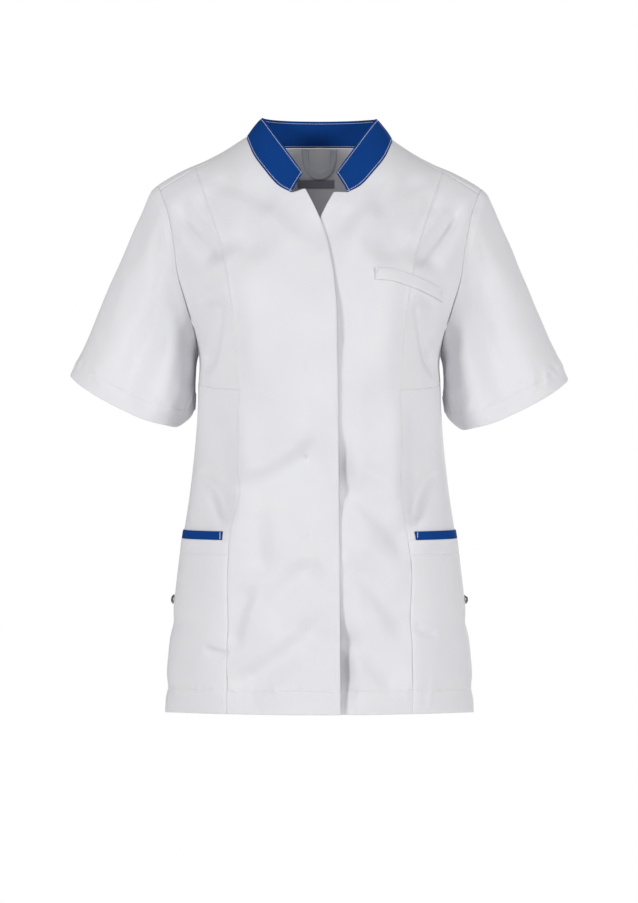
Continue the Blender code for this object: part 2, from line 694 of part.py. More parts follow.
def sleeve(hand, front_edge, back_edge):
    """A short set-in sleeve: each of its lines leaves the armhole seam and ends at the hem's ring."""
    seam, course, normal = (
        np.concatenate([fore, back[::-1][1:-1]]) for fore, back in zip(front_edge, back_edge)
    )
    course /= np.linalg.norm(course, axis=-1, keepdims=True)
    closed = np.concatenate([seam, seam[:1]])
    run = np.concatenate([[0], np.cumsum(np.linalg.norm(np.diff(closed, axis=0), axis=-1))])
    top = len(front_edge.points) - 1
    turn = np.interp(run[:-1], [0, run[top], run[-1]], [0, pi, 2 * pi])

    mirror = np.array([hand, 1, 1])
    outer, inner = np.array(CUFF_OUTER) * mirror, np.array(CUFF_INNER) * mirror
    axis = np.array(SLEEVE_AXIS) * mirror
    drop = through(np.radians(column(CUFF_DROP, "turn")), column(CUFF_DROP, "drop"), turn)
    cuff = (outer + inner) / 2 + (inner - outer) / 2 * np.cos(turn)[:, None]
    drop = drop + CUFF_LEFT_DROP * max(hand, 0)
    cuff = cuff + np.stack([0 * turn, -CUFF_HALF_DEPTH * np.sin(turn), -drop], axis=-1)

    follows = smooth_step((seam[:, 2:] + 0.22) / 0.12)
    start = course * follows + axis * (1 - follows)
    start /= np.linalg.norm(start, axis=-1, keepdims=True)
    length = np.linalg.norm(cuff - seam, axis=-1, keepdims=True)
    away = course * follows + normal * (1 - follows)
    first = seam + (ARMHOLE_GAP + 0.0001) * away / np.linalg.norm(away, axis=-1, keepdims=True)
    leave = start * length * (HEAD_REACH * follows + (1 - follows))
    arrive = (cuff - seam) * 0.85 + axis * length * 0.15

    share = even(0, 1, SLEEVE_ROWS)[:, None, None] ** SLEEVE_CROWD
    points = (
        (1 + 2 * share) * (1 - share) ** 2 * first
        + share * (1 - share) ** 2 * leave
        + share**2 * (3 - 2 * share) * cuff
        + share**2 * (share - 1) * arrive
    )
    rise = np.zeros(points.shape[:2])
    for fold in SLEEVE_FOLDS:
        at = share[..., 0]
        middle = np.radians(fold.turn + fold.lean * at)
        away = np.abs((turn[None] - middle + pi) % (2 * pi) - pi) / np.radians(fold.width)
        fade = smooth_step((at - fold.top) / 0.3) * smooth_step((fold.bottom - at) / 0.2)
        rise = rise + fold.height * np.exp(-(away**2)) * fade
    points = points + rise[..., None] * tube_normals(points)
    return shell(hand_name("sleeve", hand), points[::-hand], joined=True)


def tube_normals(points):
    """Unit vectors pointing away from the middle of each ring, across the ring's own line."""
    ahead = np.roll(points, -1, axis=1) - np.roll(points, 1, axis=1)
    along = np.gradient(points, axis=0)
    normal = np.cross(along, ahead)
    normal /= np.maximum(np.linalg.norm(normal, axis=-1, keepdims=True), 1e-12)
    middle = points.mean(axis=1, keepdims=True)
    return normal * np.sign(np.sum(normal * (points - middle), axis=-1, keepdims=True))


def along_edge(table, share):
    """Points at given shares of the length of a smooth line through a table."""
    fine = np.linspace(0, len(table) - 1, 400)
    places = np.arange(len(table))
    line = np.stack([through(places, column(table, name), fine) for name in "xyz"], axis=-1)
    run = np.concatenate([[0], np.cumsum(np.linalg.norm(np.diff(line, axis=0), axis=-1))])
    return np.stack([np.interp(share * run[-1], run, line[:, k]) for k in range(3)], axis=-1)


def shares_of(points):
    run = np.concatenate([[0], np.cumsum(np.linalg.norm(np.diff(points, axis=0), axis=-1))])
    return run / run[-1]


def collar(front_necks, back_necks):
    """A stand band that rises from the neckline and leans in towards the neck."""
    halves = {}
    for hand in (-1, 1):
        fore, back = front_necks[hand], back_necks[hand][::-1]
        lower = np.concatenate([fore, back[1:]])
        upper = np.concatenate(
            [along_edge(COLLAR_TOP_FRONT, shares_of(fore)), along_edge(COLLAR_TOP_BACK, shares_of(back))[1:]]
        )
        upper = upper * [hand, 1, 1]
        rising = upper - lower
        lower = lower + SEAM * rising / np.linalg.norm(rising, axis=-1, keepdims=True)
        halves[hand] = (lower, upper)
    lower = np.concatenate([halves[-1][0], halves[1][0][::-1][1:]])
    upper = np.concatenate([halves[-1][1], halves[1][1][::-1][1:]])
    share = even(0, 1, COLLAR_ROWS)[:, None, None]
    points = lower + (upper - lower) * share
    away = -outward(points)
    points = points + away * COLLAR_BELLY * 4 * share * (1 - share)
    return shell("collar", points[::-1], "blue_twill", BLUE_TWILL, COLLAR_CLOTH)


def chest_welt():
    """The welt of the breast pocket, laid on the left front."""
    x, z = along_table(WELT_TOP, WELT_COLUMNS)
    rows = []
    for share in (0, 0.5, 1):
        height = z - WELT_HEIGHT * (1 - share)
        rows.append(body_points(turn_at(x, height), height, -1, FOLDS_OF_THE_FRONT, left_lap))
    points = np.array(rows)
    return shell("chest_welt", points + outward(points) * (LAID_GAP + CLOTH))


def inside_back(x, z, stand_off):
    """Points that stand off the inner side of the back."""
    points = body_points(turn_at(x, z), z, 1, FOLDS_OF_THE_BACK)
    level = points * [1, 1, 0]
    away = level / np.linalg.norm(level, axis=-1, keepdims=True)
    return points - away * (CLOTH + stand_off)[..., None]


def neck_label():
    """A small woven label, bare, sewn inside below the back neck."""
    x = LABEL_X + LABEL_WIDTH * even(-0.5, 0.5, 6)
    z = LABEL_Z + LABEL_HEIGHT * even(-0.5, 0.5, 2)
    x, z = np.meshgrid(x, z)
    points = inside_back(x, z, INSIDE_GAP + LABEL_CLOTH + 0 * x)
    return shell("neck_label", points, "grey_label", GREY_LABEL, LABEL_CLOTH)


def hanger_loop():
    """A loop of narrow tape: two legs down from the back neck seam, joined by a half round."""
    straight = LOOP_DROP - LOOP_HALF_SPAN
    length = 2 * straight + pi * LOOP_HALF_SPAN
    along = even(0, length, LOOP_COLUMNS)
    bend = np.clip((along - straight) / LOOP_HALF_SPAN, 0, pi)
    leg = np.where(along < length / 2, np.minimum(along, straight), np.minimum(length - along, straight))
    rows = []
    for across in (0.5, 0, -0.5):
        radius = LOOP_HALF_SPAN + across * LOOP_TAPE
        x = -radius * np.cos(bend)
        z = LOOP_TOP_Z - leg - radius * np.sin(bend)
        fall = smooth_step((LOOP_TOP_Z - z) / (0.8 * LOOP_DROP))
        rows.append(inside_back(x, z, INSIDE_GAP + LOOP_CLOTH + LOOP_STAND_OFF * fall))
    return shell("hanger_loop", np.array(rows), "white_tape", WHITE_TAPE, LOOP_CLOTH)


def stud(hand, pocket):
    """A domed press stud at the head of a side vent, flat on the pocket's outer face.

    Its profile is a flat foot, a rim and a quarter of an ellipse, turned round its own Z axis.
    """
    heights = pocket[:, -1, 2]
    row = int(np.searchsorted(heights, STUD_Z)) - 1
    up_share = (STUD_Z - heights[row]) / (heights[row + 1] - heights[row])
    lower, upper = (
        pocket[k, -1] + (pocket[k, -2] - pocket[k, -1]) * STUD_FROM_SIDE for k in (row, row + 1)
    )
    out = hand * np.cross(pocket[row, -1] - pocket[row, -2], upper - lower)
    out /= np.linalg.norm(out)

    step = even(0, pi / 2, STUD_RINGS)
    radius = np.concatenate([[0], STUD_RADIUS * np.cos(step[:-1]), [0]])
    height = np.concatenate([[0], STUD_RIM + (STUD_HEIGHT - STUD_RIM) * np.sin(step)])
    radius = np.insert(radius, 1, STUD_RADIUS)
    height = np.insert(height, 1, 0)
    profile = np.stack([radius, 0 * radius, height], axis=-1)
    mesh = bpy.data.meshes.new(hand_name("vent_stud", hand))
    mesh.from_pydata(profile.tolist(), [(k, k + 1) for k in range(len(profile) - 1)], [])
    piece = link(hand_name("vent_stud", hand), mesh, "chromed_steel", STEEL)
    turned = piece.modifiers.new("turned", "SCREW")
    turned.axis = "Z"
    turned.angle = 2 * pi
    turned.steps = STUD_STEPS
    turned.render_steps = STUD_STEPS
    turned.use_merge_vertices = True
    turned.merge_threshold = 0.0001
    turned.use_normal_calculate = True
    piece.location = lower + (upper - lower) * up_share + out * LAID_GAP
    piece.rotation_euler = Vector(out).to_track_quat("Z", "Y").to_euler()
    return piece


def main():
    for old in list(bpy.data.objects):
        bpy.data.objects.remove(old)
    garment = bpy.data.collections.new("medical_tunic")
    bpy.context.scene.collection.children.link(garment)
    back_edges, back_necks = back_panel()
    front_necks = {}
    for hand in (-1, 1):
        front_edge, front_necks[hand] = front(hand)
        sleeve(hand, front_edge, back_edges[hand])
    collar(front_necks, back_necks)
    chest_welt()
    neck_label()
    hanger_loop()


main()
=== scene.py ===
"""Looks of the medical tunic: white twill with a blue stand collar, in its worn form with no wearer inside.

Metres, +Z up. The front faces -Y and the wearer's left side is at +X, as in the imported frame. A point of
the body is named by its turn, the angle round the body from the centre line, and its height. Each panel
is a grid on the body's surface, raised and sunk by its folds, seams and stitching. The sections follow the
garment as it is sewn: back, fronts, side panels, pockets, breast welt, sleeves, collar and trimmings.
"""

from collections import namedtuple
from math import pi

import bpy
import numpy as np
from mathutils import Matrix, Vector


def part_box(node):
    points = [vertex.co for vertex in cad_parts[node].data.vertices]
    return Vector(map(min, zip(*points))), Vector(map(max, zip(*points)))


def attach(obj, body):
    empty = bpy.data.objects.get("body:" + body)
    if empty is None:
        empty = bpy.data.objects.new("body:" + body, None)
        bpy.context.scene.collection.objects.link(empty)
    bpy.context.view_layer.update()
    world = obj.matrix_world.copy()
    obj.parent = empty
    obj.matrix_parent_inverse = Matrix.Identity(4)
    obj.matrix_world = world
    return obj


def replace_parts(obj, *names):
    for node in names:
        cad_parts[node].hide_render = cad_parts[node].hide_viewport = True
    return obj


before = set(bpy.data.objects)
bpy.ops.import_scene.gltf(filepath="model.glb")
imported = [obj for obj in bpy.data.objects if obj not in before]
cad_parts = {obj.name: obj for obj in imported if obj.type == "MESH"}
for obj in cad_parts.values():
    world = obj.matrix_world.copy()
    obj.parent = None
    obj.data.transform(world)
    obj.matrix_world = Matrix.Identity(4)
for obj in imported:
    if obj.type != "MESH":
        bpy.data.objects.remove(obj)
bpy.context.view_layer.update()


# Back: one piece of white polyester and cotton twill, about 205 g a square metre. It goes over the
# shoulders to seams that lie a little in front of the ridge, and hangs straight to a turned, stitched hem.
# The body's form, and the helpers for grids, folds, cloth and thread, are first needed here.
Section = namedtuple("Section", "z half_width front_depth back_depth")
SECTIONS = (
    Section(-0.730, 0.1920, 0.1240, 0.1230),
    Section(-0.656, 0.1885, 0.1235, 0.1220),
    Section(-0.581, 0.1805, 0.1220, 0.1180),
    Section(-0.506, 0.1715, 0.1195, 0.1090),
    Section(-0.431, 0.1605, 0.1190, 0.0990),
    Section(-0.362, 0.1535, 0.1250, 0.0960),
    Section(-0.310, 0.1510, 0.1330, 0.0990),
    Section(-0.268, 0.1505, 0.1380, 0.1030),
    Section(-0.240, 0.1577, 0.1390, 0.1050),
    Section(-0.210, 0.1730, 0.1375, 0.1065),
    Section(-0.176, 0.1890, 0.1345, 0.1075),
    Section(-0.127, 0.2030, 0.1310, 0.1070),
    Section(-0.093, 0.2110, 0.1285, 0.1060),
    Section(-0.056, 0.2180, 0.1270, 0.1050),
    Section(0.050, 0.2320, 0.1250, 0.1030),
)
Place = namedtuple("Place", "x z")
RIDGE = (
    Place(0.000, 0.0450),
    Place(0.092, 0.0040),
    Place(0.119, -0.0133),
    Place(0.140, -0.0245),
    Place(0.170, -0.0375),
    Place(0.202, -0.0560),
    Place(0.230, -0.0780),
)
BACK_NECK = (
    Place(0.0000, -0.0030),
    Place(0.0300, -0.0036),
    Place(0.0620, -0.0040),
    Place(0.0920, 0.0040),
)
Armhole = namedtuple("Armhole", "z front_x back_x")
ARMHOLE = (
    Armhole(-0.268, 0.1505, 0.1505),
    Armhole(-0.240, 0.1545, 0.1555),
    Armhole(-0.210, 0.1640, 0.1680),
    Armhole(-0.176, 0.1740, 0.1785),
    Armhole(-0.127, 0.1810, 0.1860),
    Armhole(-0.093, 0.1880, 0.1920),
    Armhole(-0.056, 0.2020, 0.2020),
)
CHEST_Z = -0.225  # above this the body rounds over to the shoulder
UNDERARM_Z = -0.268
HEM_Z = -0.714  # at the sides
STITCH_Z = -0.684  # the hem's stitching, at the sides
VENT_HEAD_Z = -0.583
VENT_FACING = 0.028
SHOULDER_TIP_X = 0.202
NECK_POINT_X = 0.092
TIP_SEAM_SHARE = 0.955
NECK_SEAM_SHARE = 0.998
FLAT = {"front": 0.85, "back": 0.80}
ROUND = {"front": 1.5, "back": 2.2}
CLOTH = 0.0011  # a panel as sewn, with its seam allowances
UPPER_LENGTH = 0.26  # of the cloth from the underarm's height to the shoulder
NEAR = (0.0005, 0.0011, 0.0020)  # extra grid lines beside a seam or a line of stitches


def through(places, values, at):
    """A smooth curve through a table: cubic pieces that share the table's slope at each entry."""
    places, values = np.asarray(places, float), np.asarray(values, float)
    slopes = np.gradient(values, places)
    at = np.clip(at, places[0], places[-1])
    i = np.clip(np.searchsorted(places, at) - 1, 0, len(places) - 2)
    step = places[i + 1] - places[i]
    k = (at - places[i]) / step
    return (
        (1 + 2 * k) * (1 - k) ** 2 * values[i]
        + k * (1 - k) ** 2 * step * slopes[i]
        + k**2 * (3 - 2 * k) * values[i + 1]
        + k**2 * (k - 1) * step * slopes[i + 1]
    )


def curve(table, key, name, at):
    """The smooth curve through two columns of a table."""
    return through([getattr(row, key) for row in table], [getattr(row, name) for row in table], at)


def smooth_step(share):
    """0 below 0, 1 above 1, and 3s^2 - 2s^3 between."""
    share = np.clip(share, 0, 1)
    return share * share * (3 - 2 * share)


def bell(distance, width):
    """exp(-(distance / width)^2)."""
    return np.exp(-((distance / width) ** 2))


def groove(distance, depth, width):
    """An edge or a line of stitching draws the cloth in: -depth * exp(-(distance / width)^2)."""
    return -depth * bell(distance, width)


def turned_up(distance, height):
    """The second layer of a turned hem: a smooth step of height across 1.6 mm, where distance passes 0."""
    return height * smooth_step(distance / 0.0016 + 0.5)


def half_width(z):
    """Half the body's width, the smooth curve through the table at each height."""
    return curve(SECTIONS, "z", "half_width", z)


def turn_at(x, z):
    """The turn of a place on the body: arcsin(x / half width)."""
    return np.arcsin(np.clip(np.asarray(x) / half_width(z), -1, 1))


def ridge_z(x):
    """Height of the shoulder ridge, which rounds over within 20 mm of the centre."""
    off = np.abs(x)
    return curve(RIDGE, "x", "z", np.where(off < 0.02, off * off / 0.04 + 0.01, off))


def on_body(turn, z, face):
    """x = half width * sin(turn), y = depth * cos(turn)^flat, and above the chest the depth is also
    multiplied by (1 - s^round)^(1/round), where s is the share of the way up to the shoulder ridge."""
    x = half_width(z) * np.sin(turn)
    share = np.clip((z - CHEST_Z) / (ridge_z(x) - CHEST_Z), 0, 1)
    depth = curve(SECTIONS, "z", face + "_depth", z) * np.maximum(np.cos(turn), 0) ** FLAT[face]
    depth = depth * (1 - share ** ROUND[face]) ** (1 / ROUND[face])
    return np.stack([x, depth * (-1 if face == "front" else 1), z + 0 * x], axis=-1)


def places(keys, pitch):
    """Places from the first key to the last, evenly spread and closer beside each key."""
    found = list(keys)
    for low, high in zip(keys, keys[1:]):
        found += list(np.linspace(low, high, max(round((high - low) / pitch), 1) + 1)[1:-1])
        found += [place for d in NEAR for place in (low + d, high - d) if low < place < high]
    found = np.unique(np.round(found, 6))
    far = np.concatenate([[True], np.diff(found) > 0.00035]) | np.isin(found, np.round(keys, 6))
    return found[far]


def shares(keys, length, pitch):
    """The same in shares of a length."""
    return places(np.asarray(keys) * length, pitch) / length


def upper_shares(rows):
    """Shares s - 0.45 * sin(2 pi s) / (2 pi), close at both ends, and closer still at the last."""
    share = np.linspace(0, 1, rows)
    share = share - 0.45 * np.sin(2 * pi * share) / (2 * pi)
    return np.sort(np.concatenate([share, [1 - d / UPPER_LENGTH for d in NEAR[:2]]]))


def coons(bottom, top, left, right, share):
    """Fills four edges of (turn, z): the blend of opposite edges less the blend of the corners."""
    u = share[None, :, None]
    w = ((left[:, 1] - left[0, 1]) / (left[-1, 1] - left[0, 1]))[:, None, None]
    low, high = (1 - u) * bottom[0] + u * bottom[-1], (1 - u) * top[0] + u * top[-1]
    sides = (1 - u) * left[:, None] + u * right[:, None]
    return (1 - w) * (bottom[None] - low) + w * (top[None] - high) + sides


def as_turns(x, z):
    """Pairs of (turn, z) for places given as x and z."""
    return np.stack([turn_at(x, z), z + 0 * np.asarray(x)], axis=-1)


def along_table(table, share):
    """Points at given shares of the length of the smooth curve through a table of points."""
    at, order = np.linspace(0, len(table) - 1, 400), np.arange(len(table))
    line = np.stack([through(order, [row[k] for row in table], at) for k in range(len(table[0]))], axis=-1)
    run = np.concatenate([[0], np.cumsum(np.linalg.norm(np.diff(line, axis=0), axis=-1))])
    return np.stack([np.interp(share * run[-1], run, values) for values in line.T], axis=0)


def shoulder_ridge(share):
    """(x, z) on the shoulder ridge, at even steps of x from the neck point to the shoulder tip."""
    x = NECK_POINT_X + (SHOULDER_TIP_X - NECK_POINT_X) * share
    return np.array([x, ridge_z(x)])


def shoulder_seam(share):
    """(x, z) on the shoulder seam, which lies a little in front of the ridge at its outer end."""
    way_up = NECK_SEAM_SHARE + (TIP_SEAM_SHARE - NECK_SEAM_SHARE) * smooth_step(share)
    end_z = CHEST_Z + (ridge_z(SHOULDER_TIP_X) - CHEST_Z) * TIP_SEAM_SHARE
    x = NECK_POINT_X + (curve(ARMHOLE, "z", "front_x", end_z) - NECK_POINT_X) * share
    return np.array([x, CHEST_Z + (shoulder_ridge(share)[1] - CHEST_Z) * way_up])


def outward(points):
    """Unit normals of a grid whose rows run up and whose columns run to the right seen from outside."""
    normal = np.cross(np.gradient(points, axis=1), np.gradient(points, axis=0))
    return normal / np.maximum(np.linalg.norm(normal, axis=-1, keepdims=True), 1e-12)


def run_along(points, axis):
    """Length along the grid's lines from their start to each point."""
    step = np.linalg.norm(np.diff(points, axis=axis), axis=-1)
    start = np.zeros_like(np.take(step, [0], axis=axis))
    return np.concatenate([start, np.cumsum(step, axis=axis)], axis=axis)


def from_ends(points, axis):
    """Length along the grid's lines from their start and from their end."""
    run = run_along(points, axis)
    return run, np.take(run, [-1], axis=axis) - run


# A fold is a soft ridge (height above 0) or trough (below 0) along a bowed line. Its width grows by
# spread towards the far end, and lean makes one flank steeper than the other.
Fold = namedtuple("Fold", "x0 z0 x1 z1 bow height width lean spread")


def fold_relief(folds, x, z):
    """Sum of height * exp(-(across / width)^2), faded out with a smooth step at both ends of its line."""
    total = np.zeros(np.broadcast(x, z).shape)
    for fold in folds:
        run = np.array([fold.x1 - fold.x0, fold.z1 - fold.z0])
        length = np.hypot(*run)
        run = run / length
        along = ((x - fold.x0) * run[0] + (z - fold.z0) * run[1]) / length
        inside = np.clip(along, 0, 1)
        across = (x - fold.x0) * run[1] - (z - fold.z0) * run[0] - fold.bow * 4 * inside * (1 - inside)
        width = fold.width * (1 + fold.spread * inside) * (1 + fold.lean * np.tanh(across / fold.width))
        fade = smooth_step(along / 0.35 + 0.5) * smooth_step((1 - along) / 0.35 + 0.5)
        total = total + fold.height * bell(across, width) * fade
    return total


def paired(folds):
    """The folds and their mirror images, which are a little shallower, wider and shifted."""
    return folds + tuple(
        fold._replace(
            x0=-fold.x0 - 0.002,
            x1=-fold.x1 + 0.003,
            z0=fold.z0 - 0.004,
            z1=fold.z1 + 0.003,
            bow=-0.8 * fold.bow,
            height=0.9 * fold.height,
            width=1.06 * fold.width,
            lean=-fold.lean,
        )
        for fold in folds
    )


def puckers(seed, along, across, spacing, reach, height):
    """Puckers beside a line of stitches: short bells at uneven places, each with its own size and slant."""
    draw = np.random.default_rng(seed)
    place, last = float(np.min(along)), float(np.max(along))
    total = np.zeros(np.broadcast(along, across).shape)
    while place < last:
        place += spacing * draw.uniform(0.5, 1.7)
        slant, width = draw.uniform(-0.5, 0.5), spacing * draw.uniform(0.20, 0.38)
        far, tall = reach * draw.uniform(0.5, 1.5), height * draw.uniform(0.2, 1.0)
        total = total + tall * bell(along - place - slant * across, width) * bell(across, far)
    return total


def drift(seed, u, v, size, height):
    """Slow unevenness of hanging cloth: a sum of nine waves of random heading and length."""
    draw = np.random.default_rng(seed)
    total = np.zeros(np.broadcast(u, v).shape)
    for _ in range(9):
        heading, length, phase = draw.uniform(0, pi), size * draw.uniform(0.6, 1.8), draw.uniform(0, 2 * pi)
        total = total + np.sin(2 * pi * (u * np.cos(heading) + v * np.sin(heading)) / length + phase)
    return total * height / 3


def linear(hex_colour):
    """sRGB hex to linear RGBA."""
    part = np.array([int(hex_colour[k : k + 2], 16) for k in (0, 2, 4)]) / 255
    return (*np.where(part <= 0.04045, part / 12.92, ((part + 0.055) / 1.055) ** 2.4).tolist(), 1.0)


def add(tree, kind, settings, links=()):
    """Adds a node. settings are attributes or input sockets, links are (input, node, output)."""
    made = tree.nodes.new(kind)
    for name, value in settings.items():
        if isinstance(name, int) or name in made.inputs:
            made.inputs[name].default_value = value
        else:
            setattr(made, name, value)
    for socket, source, output in links:
        tree.links.new(source.outputs[output], made.inputs[socket])
    return made


def new_material(name):
    """A material with an empty node tree, and the tree."""
    made = bpy.data.materials.new(name)
    made.use_nodes = True
    made.node_tree.nodes.clear()
    return made, made.node_tree


TWILL_LINE = 0.00090  # a real twill line is 0.5 mm from the next, drawn coarser so that it shows


def twill(name, colour, deep, roughness, sheen, gloss):
    """Woven twill on the cloth's own map in metres: fine diagonal lines and slubs as bump, and a colour
    that drifts a little where the cloth has been washed and pressed. It is dull, with hardly any gloss."""
    made, tree = new_material(name)
    place = add(tree, "ShaderNodeUVMap", {"uv_map": "cloth"})
    turned = add(tree, "ShaderNodeMapping", {"Rotation": (0, 0, pi / 3.2)}, [("Vector", place, "UV")])
    # A wave texture repeats every 2 pi / 20 / scale.
    ribs = {"Scale": 2 * pi / 20 / TWILL_LINE, "Distortion": 1.2, "Detail": 1.0, "Detail Scale": 1.5}
    lines = add(tree, "ShaderNodeTexWave", ribs, [("Vector", turned, "Vector")])
    # A slub is about 2.4 mm long, and a patch of the drifting colour about 70 mm wide.
    slub = add(tree, "ShaderNodeTexNoise", {"Scale": 420, "Detail": 3.0}, [("Vector", place, "UV")])
    cloud = add(tree, "ShaderNodeTexNoise", {"Scale": 14, "Detail": 2.0}, [("Vector", place, "UV")])
    both = add(tree, "ShaderNodeMath", {"operation": "ADD"}, [(0, lines, "Fac"), (1, slub, "Fac")])
    weave = add(tree, "ShaderNodeBump", {"Strength": 0.20, "Distance": 0.00025}, [("Height", both, "Value")])
    # Sockets 6 and 7 of the mix node are its two colours.
    tints = {"data_type": "RGBA", 6: linear(colour), 7: linear(deep)}
    tint = add(tree, "ShaderNodeMix", tints, [("Factor", cloud, "Fac")])
    finish = {
        "Roughness": roughness,
        "Specular IOR Level": gloss,
        "Sheen Weight": sheen,
        "Sheen Roughness": 0.5,
    }
    links = [("Base Color", tint, 2), ("Normal", weave, "Normal")]
    shader = add(tree, "ShaderNodeBsdfPrincipled", finish, links)
    add(tree, "ShaderNodeOutputMaterial", {}, [("Surface", shader, "BSDF")])
    return made


# Bleached polyester and cotton: a slightly cold white with a faint bloom from its short fibres.
WHITE_TWILL = twill("white_polycotton_twill", "E0E0E3", "D8D8DC", 0.86, 0.05, 0.20)


def cloth_mesh(name, points, kept, joined):
    """A mesh from a grid, with its map "cloth" in metres along the rows and up the columns."""
    rows, columns = points.shape[:2]
    number = np.arange(rows * columns).reshape(rows, columns)
    if joined:
        number = np.concatenate([number, number[:, :1]], axis=1)
        points = np.concatenate([points, points[:, :1]], axis=1)
    lengths = np.stack([run_along(points, 1), run_along(points, 0)], axis=-1)

    def corners(grid):
        """The four corners of each cell of a grid."""
        return np.stack([grid[:-1, :-1], grid[:-1, 1:], grid[1:, 1:], grid[1:, :-1]], axis=2)

    faces, maps = corners(number)[kept], corners(lengths)[kept]
    used = np.unique(faces)
    mesh = bpy.data.meshes.new(name)
    mesh.from_pydata(points[:, :columns].reshape(-1, 3)[used], [], np.searchsorted(used, faces))
    mesh.uv_layers.new(name="cloth").data.foreach_set("uv", maps.reshape(-1))
    mesh.shade_smooth()
    return mesh


LOW_SHOULDER = 0.0045  # the wearer's left shoulder hangs this much lower than the right one
SideDraw = namedtuple("SideDraw", "z depth half_height")
SIDE_DRAWS = (
    SideDraw(-0.602, 0.0024, 0.012),  # below the vent heads
    SideDraw(-0.682, 0.0027, 0.010),  # at the hem's stitching
)


def hang_unevenly(mesh):
    """Hangs a mesh as the garment is worn. Points go down by LOW_SHOULDER times smooth steps in x from 55 to
    105 mm and in z from -360 to -160 mm, and at the sides they go in by a bell round each height above."""
    points = np.empty((len(mesh.vertices), 3))
    mesh.vertices.foreach_get("co", points.reshape(-1))
    x, z = points[:, 0], points[:, 2]
    drop = LOW_SHOULDER * smooth_step((x - 0.055) / 0.05) * smooth_step((z + 0.36) / 0.2)
    at_side = smooth_step((np.abs(x) - 0.13) / 0.05)
    draw = sum(side.depth * bell(z - side.z, side.half_height) for side in SIDE_DRAWS) * at_side
    points -= np.stack([np.sign(x) * draw, 0 * x, drop], axis=-1)
    mesh.vertices.foreach_set("co", points.reshape(-1))


def piece(name, mesh, finish):
    """Puts a mesh in the scene as a named piece that rides on the garment."""
    hang_unevenly(mesh)
    made = bpy.data.objects.new(name, mesh)
    bpy.context.scene.collection.objects.link(made)
    mesh.materials.append(finish)
    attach(made, "root")
    return made


def panel(node, points, cut, finish=WHITE_TWILL, kept=None, joined=False, wall=CLOTH):
    """A cut piece of cloth in place of a CAD node, thickened inwards. It works out the flat lengths across
    and up the kept cells of cut, the same grid before folds and seams were worked into it, but does not use
    them."""
    flat = np.concatenate([cut, cut[:, :1]], axis=1) if joined else cut
    across = np.linalg.norm(np.diff(flat, axis=1), axis=-1)
    up = np.linalg.norm(np.diff(flat, axis=0), axis=-1)
    kept = np.ones((len(up), across.shape[1]), bool) if kept is None else kept
    across, up = (across[:-1] + across[1:]) / 2 * kept, (up[:, :-1] + up[:, 1:]) / 2 * kept
    made = piece(node + "_cloth", cloth_mesh(node + "_cloth", points, kept, joined), finish)
    thickness = made.modifiers.new("wall", "SOLIDIFY")
    thickness.thickness, thickness.offset, thickness.use_even_offset = wall, -1, False
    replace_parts(made, node)
    return made


# Lockstitch in spun polyester thread. Each stitch is a small bar that dips into the cloth at its ends.
# The thread is 0.35 mm thick, drawn at half as much again so that it shows.
STITCH_STEP = 0.0030
STITCH_LENGTH = 0.0023
THREAD_HALF = 0.00026
BAR_PLACES = np.array([-0.5, -0.28, 0.28, 0.5])
BAR_WIDTHS = np.array([0.35, 1.0, 1.0, 0.35])


def thread_bars(centres, heading, up, length):
    """Vertices and faces of small bars: four four-cornered rings along each bar's own heading."""
    side = np.cross(heading, up)
    side /= np.maximum(np.linalg.norm(side, axis=-1, keepdims=True), 1e-9)
    corner = np.arange(4) * pi / 2 + pi / 4
    across = BAR_WIDTHS[:, None] * np.cos(corner) * THREAD_HALF * 1.4
    rise = BAR_WIDTHS[:, None] * np.sin(corner) * THREAD_HALF * 1.1
    points = (
        centres[:, None, None]
        + heading[:, None, None] * (BAR_PLACES[:, None] * length + 0 * corner)[..., None]
        + side[:, None, None] * across[..., None]
        + up[:, None, None] * rise[..., None]
    )
    start = (np.arange(3)[:, None] * 4 + np.arange(4)).reshape(-1)
    after = (np.arange(3)[:, None] * 4 + (np.arange(4) + 1) % 4).reshape(-1)
    sides = np.stack([start, start + 4, after + 4, after], axis=1)
    faces = np.concatenate([sides, [[0, 1, 2, 3], [15, 14, 13, 12]]])
    return points.reshape(-1, 3), (faces + 16 * np.arange(len(centres))[:, None, None]).reshape(-1, 4)


def row_of_stitches(path, up):
    """Stitches at even steps along a path on the cloth, lifted just clear of it."""
    run = run_along(path, 0)
    at = np.arange(STITCH_STEP / 2, run[-1], STITCH_STEP)
    before, centre, after = (
        np.stack([np.interp(at + step, run, path[:, k]) for k in range(3)], axis=-1)
        for step in (-0.0006, 0, 0.0006)
    )
    heading = (after - before) / np.maximum(np.linalg.norm(after - before, axis=-1, keepdims=True), 1e-9)
    rise = np.stack([np.interp(at, run, up[:, k]) for k in range(3)], axis=-1)
    rise /= np.linalg.norm(rise, axis=-1, keepdims=True)
    return centre + rise * 0.0001, heading, rise, STITCH_LENGTH


def bar_tack(centre, heading, up, length, width):
    """A short dense bar: stitches across its own length, side by side."""
    heading = heading / np.linalg.norm(heading)
    side = np.cross(heading, up)
    at = np.linspace(-length / 2, length / 2, round(length / 0.0007))
    wide = np.broadcast_to(side / np.linalg.norm(side), (len(at), 3))
    return centre + heading * at[:, None] + up * 0.00015, wide, np.broadcast_to(up, (len(at), 3)), width


def sewing(name, parts, finish):
    """One mesh of the thread on a piece, from rows of stitches and bar tacks."""
    points, faces, count = [], [], 0
    for part in parts:
        more, bars = thread_bars(*part)
        points.append(more)
        faces.append(bars + count)
        count += len(more)
    mesh = bpy.data.meshes.new(name)
    mesh.from_pydata(np.concatenate(points), [], np.concatenate(faces))
    mesh.shade_smooth()
    return piece(name, mesh, finish)


